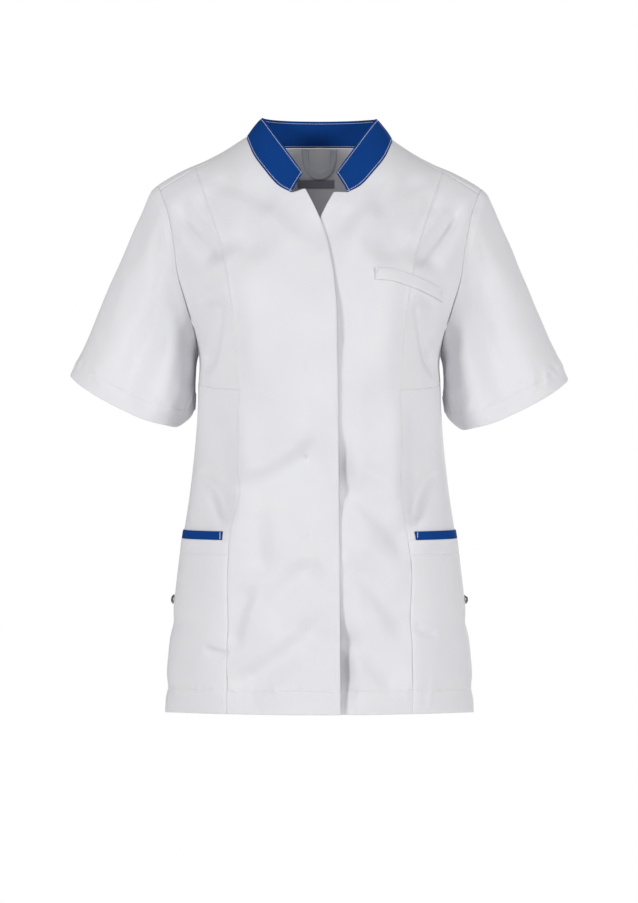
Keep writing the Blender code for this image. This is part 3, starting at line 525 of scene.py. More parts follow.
def polyester_thread(name, colour):
    """Spun polyester thread: a fine twist along each stitch and a soft gloss."""
    made, tree = new_material(name)
    place = add(tree, "ShaderNodeTexCoord", {})
    twist = add(tree, "ShaderNodeTexNoise", {"Scale": 2600, "Detail": 2.0}, [("Vector", place, "Object")])
    bump = add(tree, "ShaderNodeBump", {"Strength": 0.3, "Distance": 0.0001}, [("Height", twist, "Fac")])
    finish = {"Base Color": linear(colour), "Roughness": 0.55, "Sheen Weight": 0.2}
    shader = add(tree, "ShaderNodeBsdfPrincipled", finish, [("Normal", bump, "Normal")])
    add(tree, "ShaderNodeOutputMaterial", {}, [("Surface", shader, "BSDF")])
    return made


WHITE_THREAD = polyester_thread("white_polyester_thread", "E6E6E9")


def crossing(points, normals, distance, wanted):
    """The path across the columns where distance, which grows up each column, reaches wanted."""
    k = np.clip((distance < wanted).sum(axis=0) - 1, 0, len(distance) - 2)
    c = np.arange(points.shape[1])
    weight = ((wanted - distance[k, c]) / (distance[k + 1, c] - distance[k, c]))[:, None]
    return points[k, c] * (1 - weight) + points[k + 1, c] * weight, normals[k, c]


def rising(points, normals, distance, wanted):
    """The same up the rows: the path where distance, which grows along each row, reaches wanted."""
    return crossing(*(np.swapaxes(grid, 0, 1) for grid in (points, normals, distance)), wanted)


BACK_CUT = 5 / 13  # share of the half back's columns that end at the neck
OVER_ROWS = 9
BACK_PITCH = 0.0034
BACK_SPAN = 0.30  # of half the back, across
BACK_UPPER_ROWS = 84
BACK_FOLDS = paired(
    (
        Fold(0.040, -0.088, 0.134, -0.150, 0.006, -0.0048, 0.016, 0.2, 0.3),
        Fold(0.070, -0.064, 0.150, -0.112, 0.004, -0.0024, 0.011, 0.0, 0.2),
        Fold(0.152, -0.125, 0.112, -0.232, 0.004, -0.0054, 0.014, -0.3, 0.4),
        Fold(0.166, -0.160, 0.140, -0.262, 0.004, 0.0033, 0.010, 0.2, 0.3),
        Fold(0.128, -0.200, 0.060, -0.262, -0.006, -0.0030, 0.013, 0.0, 0.5),
        Fold(0.060, -0.462, 0.068, -0.705, 0.005, 0.0063, 0.024, 0.1, 0.4),
        Fold(0.112, -0.505, 0.120, -0.702, -0.004, -0.0063, 0.019, -0.1, 0.3),
        Fold(0.020, -0.520, 0.014, -0.705, 0.004, -0.0039, 0.018, 0.0, 0.4),
        Fold(0.148, -0.330, 0.090, -0.362, 0.003, 0.0027, 0.010, 0.3, 0.2),
    )
) + (
    Fold(0.020, -0.398, 0.124, -0.366, 0.004, -0.0054, 0.014, 0.3, 0.0),
    Fold(-0.124, -0.380, -0.008, -0.403, 0.004, -0.0054, 0.014, -0.2, 0.0),
    Fold(0.048, -0.447, 0.144, -0.424, -0.004, -0.0051, 0.014, -0.2, 0.2),
    Fold(-0.136, -0.428, -0.066, -0.452, -0.004, -0.0048, 0.013, 0.2, 0.1),
    Fold(-0.040, -0.424, 0.046, -0.430, 0.005, 0.0039, 0.011, 0.0, 0.0),
    Fold(0.010, -0.300, 0.090, -0.330, -0.004, -0.0027, 0.015, 0.0, 0.2),
    Fold(-0.100, -0.322, -0.020, -0.345, 0.004, -0.0030, 0.014, 0.0, 0.2),
)


def back_relief(x, z):
    """Folds and drift of the back, which die out towards its top edge and its side seams."""
    calm = smooth_step((np.minimum(ridge_z(x), BACK_NECK[0].z) - z) / 0.05)
    calm = calm * smooth_step((half_width(z) - np.abs(x)) / 0.010)
    return (fold_relief(BACK_FOLDS, x, z) + drift(11, x, z, 0.11, 0.0006)) * calm


out = shares([0, BACK_CUT, 1], BACK_SPAN, BACK_PITCH)
on_neck = out < BACK_CUT - 1e-4
over = np.clip((out - BACK_CUT) / (1 - BACK_CUT), 0, 1)
heights = places([HEM_Z, STITCH_Z, VENT_HEAD_Z, UNDERARM_Z], BACK_PITCH)
lower = np.stack(np.broadcast_arrays(out[None] * pi / 2, heights[:, None]), axis=-1)
neckline = along_table(BACK_NECK, np.clip(out / BACK_CUT, 0, 1))
ridge, seam = shoulder_ridge(over), shoulder_seam(over)
rise = upper_shares(BACK_UPPER_ROWS)
centre_z = UNDERARM_Z + (BACK_NECK[0].z - UNDERARM_Z) * rise
arm_z = UNDERARM_Z + (ridge_z(SHOULDER_TIP_X) - UNDERARM_Z) * rise
arm = as_turns(curve(ARMHOLE, "z", "back_x", arm_z), arm_z)
top = as_turns(*np.where(on_neck, neckline, ridge))
half = np.concatenate([lower, coons(lower[-1], top, as_turns(0 * centre_z, centre_z), arm, out)[1:]])
back_under, neck_row, neck_columns = len(lower) - 1, len(half) - 1, int(on_neck.sum())
halves = {}
for hand in (-1, 1):
    rows = [on_body(hand * half[..., 0], half[..., 1], "back")]
    for share in np.linspace(0, 1, OVER_ROWS + 1)[1:]:
        x, z = ridge + (seam - ridge) * share**2
        rows.append(on_body(hand * turn_at(x, z), z, "front")[None])
    halves[hand] = np.concatenate(rows)
cut = np.concatenate([halves[1][:, ::-1], halves[-1][:, 1:]], axis=1)
normals = outward(cut)
x, z = cut[..., 0], cut[..., 2]
form = cut + normals * back_relief(x, z)[..., None]
from_hem, from_top = from_ends(cut, 0)
from_left, from_right = from_ends(cut, 1)
from_side = np.minimum(from_left, from_right)
hem = from_hem - (STITCH_Z - HEM_Z)
relief = groove(from_side, 0.0006, 0.0011) + groove(from_top, 0.0006, 0.0011)
relief += groove(from_hem, 0.0005, 0.0010) + groove(hem, 0.0005, 0.0010) + turned_up(-hem, 0.0003)
relief += puckers(12, from_left, hem, 0.013, 0.010, 0.0007)
relief += puckers(13, z, from_side - 0.002, 0.020, 0.012, 0.0005) * smooth_step((UNDERARM_Z - z) / 0.02)
points = form + normals * relief[..., None]
kept = np.ones((len(halves[1]) - 1, len(out) - 1), bool)
kept[neck_row:, :neck_columns] = False
panel("back", points, cut, kept=np.concatenate([kept[:, ::-1], kept], axis=1))
middle = len(out) - 1
back_form = {1: form[:, middle::-1], -1: form[:, middle:]}
vent = z[:, 0] < VENT_HEAD_Z
left_facing = rising(points, normals, from_left, VENT_FACING)
right_facing = rising(points[:, ::-1], normals[:, ::-1], from_right[:, ::-1], VENT_FACING)
rows = [crossing(points, normals, hem, 0.0)]
rows += [[line[vent] for line in facing] for facing in (left_facing, right_facing)]
sewing("back_stitching", [row_of_stitches(*row) for row in rows], WHITE_THREAD)


# Fronts: two panels of the same twill with a shoulder dart each. The wearer's right front laps over the
# left one with concealed studs, whose bar tacks show, and each ends below the bust in a cross seam.
OPENING = (
    Place(-0.0256, -0.730),
    Place(-0.0236, -0.449),
    Place(-0.0214, -0.268),
    Place(-0.0196, -0.200),
    Place(-0.0150, -0.160),
    Place(-0.0030, -0.110),
    Place(0.0174, -0.072),
)
FRONT_NECK = (
    Place(0.0350, -0.0712),
    Place(0.0515, -0.0610),
    Place(0.0664, -0.0442),
    Place(0.0817, -0.0220),
    Place(0.0920, 0.0040),
)
# Shoulder dart, carried on down as the seam of the side panel
PANEL_LINE = (
    Place(0.1127, -0.730),
    Place(0.1124, -0.600),
    Place(0.1112, -0.521),
    Place(0.1063, -0.474),
    Place(0.0996, -0.450),
    Place(0.0980, -0.400),
    Place(0.0980, -0.315),
    Place(0.1025, -0.240),
    Place(0.1150, -0.160),
    Place(0.1335, -0.100),
    Place(0.1550, -0.030),
)
# Heights of the front's rows at the side and at the centre, where the hem is a little higher
Level = namedtuple("Level", "side_z centre_z")
LEVELS = (
    Level(-0.7140, -0.7070),
    Level(-0.6840, -0.6790),
    Level(-0.6300, -0.6280),
    Level(-0.5830, -0.5830),
    Level(-0.5150, -0.5150),
    Level(-0.4970, -0.4970),
    Level(-0.4862, -0.4862),
    Level(-0.4100, -0.4100),
    Level(-0.3020, -0.3150),
    Level(-0.2680, -0.2680),
)
POCKET_STITCH_Z, POCKET_MOUTH_Z, BAND_TOP_Z, BUST_SEAM_Z = (LEVELS[k].side_z for k in (4, 5, 6, 8))
CORNER_END, NECK_END = 2 / 12, 8 / 12  # shares of the front's top edge: closing corner, neckline, shoulder
DART_TOP_SHARE = 0.575
FRONT_PITCH = 0.0024
INNER_WIDTH = 0.140  # across, from the closing edge to the panel line
SIDE_WIDTH = 0.115  # from the panel line to the side seam
FRONT_UPPER_ROWS = 104
BAND_INSET = 0.0092  # the pocket band starts this far from the panel line
VENT_SPREAD = 0.05  # the front edge of a side vent draws back by this turn at the hem
CORNER_RISE = 0.0042  # the right front's upper corner stands this much higher than the left one's
FRONT_FOLDS = paired(
    (
        Fold(0.174, -0.080, 0.122, -0.152, -0.004, -0.0080, 0.010, 0.3, 0.5),
        Fold(0.146, -0.052, 0.104, -0.120, -0.004, 0.0040, 0.010, 0.0, 0.3),
        Fold(0.168, -0.096, 0.136, -0.160, 0.002, -0.0050, 0.009, 0.2, 0.6),
        Fold(0.148, -0.064, 0.076, -0.148, -0.006, -0.0086, 0.012, 0.2, 0.6),
        Fold(0.128, -0.046, 0.068, -0.092, 0.003, -0.0050, 0.009, 0.0, 0.5),
        Fold(0.080, -0.052, 0.008, -0.136, 0.006, -0.0058, 0.016, 0.0, 0.5),
        Fold(0.100, -0.056, 0.030, -0.140, 0.002, 0.0034, 0.013, 0.0, 0.4),
        Fold(0.122, -0.200, 0.142, -0.288, 0.003, -0.0085, 0.009, -0.2, 0.3),
        Fold(0.086, -0.165, 0.082, -0.300, 0.002, 0.0046, 0.022, 0.0, 0.0),
        Fold(0.090, -0.330, 0.094, -0.480, 0.000, 0.0046, 0.018, 0.0, 0.0),
        Fold(0.124, -0.340, 0.124, -0.470, 0.004, -0.0060, 0.015, 0.0, 0.0),
        Fold(0.141, -0.414, 0.119, -0.474, 0.002, -0.0064, 0.007, 0.3, 0.2),
        Fold(0.150, -0.205, 0.112, -0.196, 0.002, 0.0028, 0.008, 0.0, 0.6),
    )
) + (
    Fold(-0.096, -0.440, 0.000, -0.386, 0.005, -0.0070, 0.019, 0.3, 0.3),
    Fold(-0.090, -0.412, -0.014, -0.366, 0.004, 0.0034, 0.015, 0.0, 0.0),
    Fold(-0.077, -0.462, -0.070, -0.532, 0.003, -0.0062, 0.016, 0.0, 0.2),
    Fold(-0.006, -0.528, -0.064, -0.590, 0.006, -0.0084, 0.018, -0.3, 0.3),
    Fold(-0.085, -0.556, -0.106, -0.620, 0.003, -0.0050, 0.012, 0.3, 0.2),
    Fold(-0.100, -0.674, 0.006, -0.594, 0.006, -0.0092, 0.018, 0.3, 0.3),
    Fold(-0.070, -0.692, -0.016, -0.640, 0.004, 0.0042, 0.014, 0.0, 0.1),
    Fold(0.034, -0.436, 0.106, -0.503, -0.006, -0.0070, 0.017, -0.4, 0.3),
    Fold(0.038, -0.404, 0.094, -0.440, -0.004, 0.0034, 0.014, 0.0, 0.0),
    Fold(0.040, -0.528, 0.107, -0.609, -0.006, -0.0070, 0.017, -0.3, 0.4),
    Fold(0.048, -0.494, 0.100, -0.552, -0.004, 0.0034, 0.014, 0.0, 0.1),
    Fold(0.036, -0.614, 0.093, -0.672, -0.004, -0.0070, 0.016, -0.3, 0.2),
    Fold(-0.138, -0.629, -0.113, -0.634, 0.001, -0.0032, 0.005, 0.3, 0.0),
    Fold(0.116, -0.602, 0.140, -0.612, 0.001, -0.0025, 0.005, -0.2, 0.0),
)
FLY_TACKS_Z = (-0.284, -0.394, -0.492, -0.600)
FLY_TACK_X = -0.017
FLY_TACK_LENGTH, FLY_TACK_WIDTH, FLY_TACK_GAP = 0.008, 0.0011, 0.0032  # a pair stands this far apart


def front_relief(x, z):
    """Folds and drift shared by everything on the front, which die out at the shoulder and the sides."""
    calm = smooth_step((ridge_z(x) - z - 0.010) / 0.05) * smooth_step((half_width(z) - np.abs(x)) / 0.010)
    return (fold_relief(FRONT_FOLDS, x, z) + drift(21, x, z, 0.10, 0.0006)) * calm


Proud = namedtuple("Proud", "z height half_height")
PROUD_EDGE = (  # where the right front's edge stands off the left front
    Proud(-0.235, 0.0036, 0.045),
    Proud(-0.412, 0.0075, 0.034),
    Proud(-0.650, 0.0120, 0.052),
)
LAP_STEP = 0.0028


def left_lap(x, z):
    """The left front steps back under the right one, by LAP_STEP and a bell round each proud height, times
    smooth steps that end it 26 to 52 mm from the centre and below the neck."""
    proud = sum(place.height * bell(z - place.z, place.half_height) for place in PROUD_EDGE)
    return -(LAP_STEP + proud) * smooth_step((0.052 - x) / 0.026) * smooth_step((-0.082 - z) / 0.016)


def sided(grid, hand):
    """Turns a grid drawn from the centre outwards so that it runs from the wearer's right to the left."""
    return grid if hand > 0 else grid[:, ::-1]


inner = shares([0, CORNER_END, NECK_END, 1], INNER_WIDTH, FRONT_PITCH)
outer = shares([0, BAND_INSET / SIDE_WIDTH, 1], SIDE_WIDTH, FRONT_PITCH)
seam_column = len(inner) - 1
side_z = places([level.side_z for level in LEVELS], FRONT_PITCH)
centre_z = np.interp(side_z, [level.side_z for level in LEVELS], [level.centre_z for level in LEVELS])
# Below the underarm a row runs from the closing edge past the panel line to the side seam.
z = np.broadcast_to(side_z[:, None], (len(side_z), seam_column + len(outer)))
for _ in range(4):  # a row's height and its turns depend on each other
    edge_x, line_x = curve(OPENING, "z", "x", z[:, 0]), curve(PANEL_LINE, "z", "x", z[:, seam_column])
    start, line = turn_at(edge_x, z[:, 0])[:, None], turn_at(line_x, z[:, seam_column])[:, None]
    turn = np.concatenate([start + (line - start) * inner, line + (pi / 2 - line) * outer[1:]], axis=1)
    z = side_z[:, None] + (centre_z - side_z)[:, None] * (1 - np.abs(turn / (pi / 2)) ** 3)
lower = np.stack([turn, z], axis=-1)
# The top edge starts at the closing corner and follows the neckline and then the shoulder seam.
neckline = along_table(FRONT_NECK, np.clip((inner - CORNER_END) / (NECK_END - CORNER_END), 0, 1))
shoulder = shoulder_seam(np.clip((inner - NECK_END) / (1 - NECK_END), 0, 1) * DART_TOP_SHARE)
corner = np.array(OPENING[-1])[:, None]
toward_neck = corner + (neckline[:, :1] - corner) * np.clip(inner / CORNER_END, 0, 1)
top = np.where(inner < CORNER_END, toward_neck, np.where(inner > NECK_END, shoulder, neckline))
tip = shoulder_seam(DART_TOP_SHARE + (1 - DART_TOP_SHARE) * outer)
# Above the underarm each side of the panel line is filled in from its four edges.
rise = upper_shares(FRONT_UPPER_ROWS)
edge_z = UNDERARM_Z + (corner[1] - UNDERARM_Z) * rise
line_z = UNDERARM_Z + (top[1, -1] - UNDERARM_Z) * rise
arm_z = UNDERARM_Z + (tip[1, -1] - UNDERARM_Z) * rise
line_x = curve(PANEL_LINE, "z", "x", line_z)
edge = as_turns(curve(OPENING, "z", "x", edge_z), edge_z)
arm = as_turns(curve(ARMHOLE, "z", "front_x", arm_z), arm_z)
line = as_turns(line_x + (top[0, -1] - line_x[-1]) * rise**4, line_z)
upper_inner = coons(lower[-1, : seam_column + 1], as_turns(*top), edge, line, inner)
upper_outer = coons(lower[-1, seam_column:], as_turns(*tip), line, arm, outer)
front_grid = np.concatenate([lower, np.concatenate([upper_inner, upper_outer[:, 1:]], axis=1)[1:]])
front_under = len(side_z) - 1
stitch_row, vent_row, mouth_row, band_row, bust_row = (
    int(np.argmin(np.abs(side_z - height)))
    for height in (STITCH_Z, VENT_HEAD_Z, POCKET_MOUTH_Z, BAND_TOP_Z, BUST_SEAM_Z)
)
draw_back = VENT_SPREAD * smooth_step((VENT_HEAD_Z - side_z) / (VENT_HEAD_Z - HEM_Z))[:, None]
beyond = np.clip(turn - turn[:, seam_column : seam_column + 1], 0, None)
front_grid[: len(side_z), :, 0] -= draw_back * beyond / beyond[:, -1:]
near_corner = bell(np.concatenate([inner, 1 + outer[1:]]), 0.09)

front_cut, front_form, front_normals = {}, {}, {}
for hand, side in ((-1, "right"), (1, "left")):
    cut = on_body(hand * front_grid[..., 0], front_grid[..., 1], "front")
    if hand < 0:
        cut[..., 2] += CORNER_RISE * near_corner * smooth_step((cut[..., 2] + 0.115) / 0.045)
    normals = hand * outward(cut)
    x, z = cut[..., 0], cut[..., 2]
    form = cut + normals * (front_relief(x, z) + (left_lap(x, z) if hand > 0 else 0))[..., None]
    front_cut[hand], front_form[hand], front_normals[hand] = cut, form, normals
    from_edge, from_side = from_ends(cut, 1)
    from_hem, from_top = from_ends(cut, 0)
    from_line = from_edge - from_edge[:, seam_column : seam_column + 1]
    hem, from_bust = from_hem - from_hem[stitch_row], from_hem - from_hem[bust_row]
    low = np.arange(len(cut))[:, None] < bust_row
    beside = np.arange(cut.shape[1])[None] >= seam_column
    relief = groove(from_edge, 0.0007, 0.0012) + groove(from_side, 0.0006, 0.0011)
    relief += groove(from_top, 0.0005, 0.0011) + groove(from_hem, 0.0005, 0.0010)
    relief += groove(from_line, 0.0003, 0.0011) * low + groove(from_bust, 0.0003, 0.0011) * beside
    # The dart above the cross seam is a pressed ridge with a groove beside it.
    relief += (0.0006 * bell(from_line + 0.0022, 0.0018) + groove(from_line, 0.0005, 0.0008)) * ~low
    relief += puckers(31 + hand, z, from_line, 0.024, 0.012, 0.0007)
    relief += puckers(37 + hand, from_line, from_bust, 0.015, 0.012, 0.0008) * beside
    relief += turned_up(-hem, 0.0003) + groove(hem, 0.0005, 0.0010)
    relief += puckers(33 + hand, from_edge, hem, 0.014, 0.011, 0.0014)
    relief += puckers(35 + hand, z, from_edge, 0.030, 0.014, 0.0010) * smooth_step((-0.20 - z) / 0.05)
    for tack_z in FLY_TACKS_Z if hand < 0 else ():
        relief += groove(x - FLY_TACK_X, 0.0009, 0.006) * bell(z - tack_z, 0.008)
    points = form + normals * relief[..., None]
    kept = np.ones((len(cut) - 1, cut.shape[1] - 1), bool)
    kept[:bust_row, seam_column:] = False
    panel(f"front_{side}", sided(points, hand), sided(cut, hand), kept=sided(kept, hand))
    rows = [row_of_stitches(*(line[: seam_column + 1] for line in crossing(points, normals, hem, 0.0)))]
    for tack_z in FLY_TACKS_Z if hand < 0 else ():
        for tack_x in (FLY_TACK_X - FLY_TACK_GAP / 2, FLY_TACK_X + FLY_TACK_GAP / 2):
            near = np.unravel_index(np.argmin(np.hypot(x - tack_x, z - tack_z)), x.shape)
            heading = np.cross(normals[near], [1.0, 0, 0])
            rows.append(bar_tack(points[near], heading, normals[near], FLY_TACK_LENGTH, FLY_TACK_WIDTH))
    sewing(f"front_{side}_stitching", rows, WHITE_THREAD)


# Side panels: the lower side of each front, of the same white twill, sewn on below the bust seam along the
# line of the dart. They carry the pockets and end at the side vents.
SEAM_GAP = 0.1  # in steps of the grid
for hand, side in ((-1, "right"), (1, "left")):
    patch = np.s_[: bust_row + 1, seam_column:]
    cut, form, normals = front_cut[hand][patch], front_form[hand][patch], front_normals[hand][patch]
    from_line, from_side = from_ends(cut, 1)
    from_hem, from_top = from_ends(cut, 0)
    hem = from_hem - from_hem[stitch_row]
    relief = groove(from_line, 0.0003, 0.0011) + groove(from_top, 0.0003, 0.0011)
    relief += groove(from_side, 0.0006, 0.0011)
    relief += groove(from_hem, 0.0005, 0.0010) + groove(hem, 0.0005, 0.0010)
    relief += puckers(41 + hand, cut[..., 2], from_line, 0.024, 0.010, 0.0006)
    relief += puckers(43 + hand, from_line, from_top, 0.014, 0.012, 0.0009)
    points = form + normals * relief[..., None]
    # The first column and the last row draw in to leave the seams a fine gap.
    points[:, 0] += (points[:, 1] - points[:, 0]) * SEAM_GAP
    points[-1] += (points[-2] - points[-1]) * SEAM_GAP
    panel(f"side_panel_{side}", sided(points, hand), sided(cut, hand))


# Pockets: a patch from the hem to its mouth on each side panel, with a stitched hem at the mouth, and a
# band of the collar's blue twill above the mouth. Both are sewn on through the panel's own seams.
LAID = 0.0015  # a laid piece's face stands off the panel's face by this much
MOUTH_STANDS_OFF, BAND_STANDS_OFF = 0.0012, 0.0010  # and by this much more in the middle of the mouth
BAND_TACK_IN, BAND_TACK_LENGTH, TACK_WIDTH = 0.0030, 0.0080, 0.0013
# The same twill dyed royal blue: deep and matt, without the white's bloom.
BLUE_TWILL = twill("blue_polycotton_twill", "0F4088", "0D397C", 0.85, 0.0, 0.06)
pocket_face = {}
for hand, side in ((-1, "right"), (1, "left")):
    patch = np.s_[: mouth_row + 1, seam_column:]
    cut, form, normals = front_cut[hand][patch], front_form[hand][patch], front_normals[hand][patch]
    from_line, from_side = from_ends(cut, 1)
    from_hem, from_top = from_ends(cut, 0)
    hem, mouth = from_hem - from_hem[stitch_row], POCKET_MOUTH_Z - POCKET_STITCH_Z - from_top
    middle = smooth_step(from_line / 0.03) * smooth_step(from_side / 0.03)
    relief = LAID + groove(from_line, 0.0010, 0.0020) + groove(from_side, 0.0006, 0.0011)
    relief += groove(from_hem, 0.0005, 0.0010) + groove(from_top, 0.0004, 0.0009)
    relief += MOUTH_STANDS_OFF * bell(from_top, 0.020) * middle
    relief += groove(mouth, 0.0005, 0.0010) + groove(hem, 0.0005, 0.0010)
    relief += puckers(51 + hand, from_line, mouth, 0.016, 0.009, 0.0006)
    relief += puckers(53 + hand, from_line, hem, 0.014, 0.011, 0.0014)
    relief += puckers(55 + hand, cut[..., 2], from_line, 0.028, 0.010, 0.0006)
    points = form + normals * relief[..., None]
    pocket_face[hand] = points, normals
    panel(f"pocket_{side}", sided(points, hand), sided(cut, hand))
    facing = rising(points[:, ::-1], normals[:, ::-1], from_side[:, ::-1], VENT_FACING)
    rows = [crossing(points, normals, mouth, 0.0), crossing(points, normals, hem, 0.0)]
    rows.append([line[:vent_row] for line in facing])
    sewing(f"pocket_{side}_stitching", [row_of_stitches(*row) for row in rows], WHITE_THREAD)

    inset = seam_column + int(np.argmin(np.abs(outer - BAND_INSET / SIDE_WIDTH)))
    patch = np.s_[mouth_row : band_row + 1, inset:]
    cut, form, normals = front_cut[hand][patch], front_form[hand][patch], front_normals[hand][patch]
    from_line, from_side = from_ends(cut, 1)
    from_foot, from_top = from_ends(cut, 0)
    middle = smooth_step(from_line / 0.03) * smooth_step(from_side / 0.03)
    relief = LAID + BAND_STANDS_OFF * bell(from_foot, 0.020) * middle
    relief += groove(from_line, 0.0005, 0.0010) + groove(from_side, 0.0005, 0.0010)
    relief += groove(from_top, 0.0005, 0.0010)
    points = form + normals * relief[..., None]
    points[0] += (points[1] - points[0]) / 2  # clear of the pocket's mouth
    panel(f"pocket_band_{side}", sided(points, hand), sided(cut, hand), BLUE_TWILL)
    place = len(points) // 2, int(np.argmin(np.abs(from_line[0] - BAND_TACK_IN)))
    tack = bar_tack(points[place], np.array([0, 0, 1.0]), normals[place], BAND_TACK_LENGTH, TACK_WIDTH)
    sewing(f"pocket_band_{side}_tack", [tack], WHITE_THREAD)


# Breast welt: a strip of the white twill, folded double, on the wearer's left front over the slot of the
# breast pocket. It is stitched along its top and foot, with a bar tack at each end.
WELT_TOP = (
    Place(0.0667, -0.1662),
    Place(0.0867, -0.1653),
    Place(0.1077, -0.1693),
    Place(0.1277, -0.1765),
    Place(0.1480, -0.1861),
)
WELT_LENGTH, WELT_HEIGHT, WELT_STANDS_OFF = 0.090, 0.0160, 0.0018
WELT_STITCH, WELT_TACK, WELT_PITCH = 0.0020, 0.0016, 0.0016  # the first two from its edges and ends
x, z = along_table(WELT_TOP, shares([0, 1], WELT_LENGTH, WELT_PITCH))
z = z - WELT_HEIGHT * (1 - shares([0, 1], WELT_HEIGHT, WELT_PITCH))[:, None]
x = np.broadcast_to(x, z.shape)
cut = on_body(turn_at(x, z), z, "front")
normals = outward(cut)
from_left, from_right = from_ends(cut, 1)
from_foot, from_top = from_ends(cut, 0)
edge = np.minimum(np.minimum(from_left, from_right), np.minimum(from_foot, from_top))
relief = front_relief(x, z) + left_lap(x, z) + WELT_STANDS_OFF
relief += groove(edge, 0.0006, 0.0009) + groove(edge - WELT_STITCH, 0.0003, 0.0008)
relief += puckers(61, from_left, from_foot - WELT_STITCH, 0.010, 0.006, 0.0004)
points = cut + normals * relief[..., None]
panel("chest_welt", points, cut)
row = len(points) // 2
left, right = (int(np.argmin(np.abs(ends[0] - WELT_TACK))) for ends in (from_left, from_right))
sewing(
    "chest_welt_stitching",
    [
        row_of_stitches(*crossing(points, normals, from_foot, WELT_STITCH)),
        row_of_stitches(*crossing(points, normals, from_foot, WELT_HEIGHT - WELT_STITCH)),
        bar_tack(points[row, left], np.array([0, 0, 1.0]), normals[row, left], 0.0150, TACK_WIDTH),
        bar_tack(points[row, right], np.array([0.35, 0, 1.0]), normals[row, right], 0.0140, TACK_WIDTH),
    ],
    WHITE_THREAD,
)


# Sleeves: short set-in sleeves of the same twill, each one piece with its seam under the arm. The head is
# eased into the armhole, and the hem is turned up and stitched.
SLEEVE_AXIS = (0.346, 0.0, -0.938)
HEAD_REACH = 0.20  # the sleeve head follows the shoulder for this share of its length before it falls
CUFF_OUTER = (0.3110, 0.0, -0.2940)
CUFF_INNER = (0.1560, 0.0, -0.3310)
CUFF_HALF_DEPTH = 0.050
SLEEVE_HEM = 0.0225
SLEEVE_LENGTH, SLEEVE_RADIUS, SLEEVE_PITCH, SLEEVE_HALF_COLUMNS = 0.215, 0.054, 0.0024, 80
LEFT_CUFF_DROP, RIGHT_FOLD_TURN = 0.0035, 4  # the two sleeves hang a little differently
Cuff = namedtuple("Cuff", "turn drop")  # turn in degrees from the underarm round by the front
CUFF_DROP = (
    Cuff(0, 0.0060),
    Cuff(14, 0.0170),
    Cuff(33, 0.0310),
    Cuff(59, 0.0340),
    Cuff(78, 0.0330),
    Cuff(98, 0.0275),
    Cuff(117, 0.0206),
    Cuff(136, 0.0130),
    Cuff(180, 0.0000),
    Cuff(225, 0.0010),
    Cuff(270, 0.0060),
    Cuff(330, 0.0080),
    Cuff(360, 0.0060),
)
SleeveFold = namedtuple("SleeveFold", "turn lean top bottom height width")
SLEEVE_FOLDS = (
    SleeveFold(62, 6, 0.10, 1.10, 0.0056, 15),
    SleeveFold(88, 10, 0.22, 1.05, -0.0066, 13),
    SleeveFold(120, 0, 0.45, 1.10, 0.0036, 20),
    SleeveFold(24, 0, 0.25, 1.05, -0.0026, 14),
    SleeveFold(34, 0, 0.70, 1.30, -0.0090, 24),
    SleeveFold(30, 4, 0.12, 0.80, 0.0046, 24),
    SleeveFold(255, -8, 0.15, 1.10, 0.0060, 20),
    SleeveFold(292, -4, 0.20, 1.00, -0.0060, 16),
    SleeveFold(222, -4, 0.30, 0.90, -0.0040, 18),
    SleeveFold(74, 4, 0.15, 0.62, -0.0012, 6),
    SleeveFold(104, -10, 0.05, 0.50, 0.0014, 8),
    SleeveFold(44, 10, 0.28, 0.85, -0.0014, 7),
    SleeveFold(140, -14, 0.02, 0.40, -0.0012, 9),
    SleeveFold(238, 10, 0.06, 0.60, 0.0016, 9),
    SleeveFold(274, 6, 0.10, 0.70, -0.0016, 8),
)


def tube_normals(points):
    """Unit vectors across each ring's own line and pointing away from its middle."""
    normal = np.cross(np.gradient(points, axis=0), np.roll(points, -1, axis=1) - np.roll(points, 1, axis=1))
    normal /= np.maximum(np.linalg.norm(normal, axis=-1, keepdims=True), 1e-12)
    middle = points.mean(axis=1, keepdims=True)
    return normal * np.sign(np.sum(normal * (points - middle), axis=-1, keepdims=True))


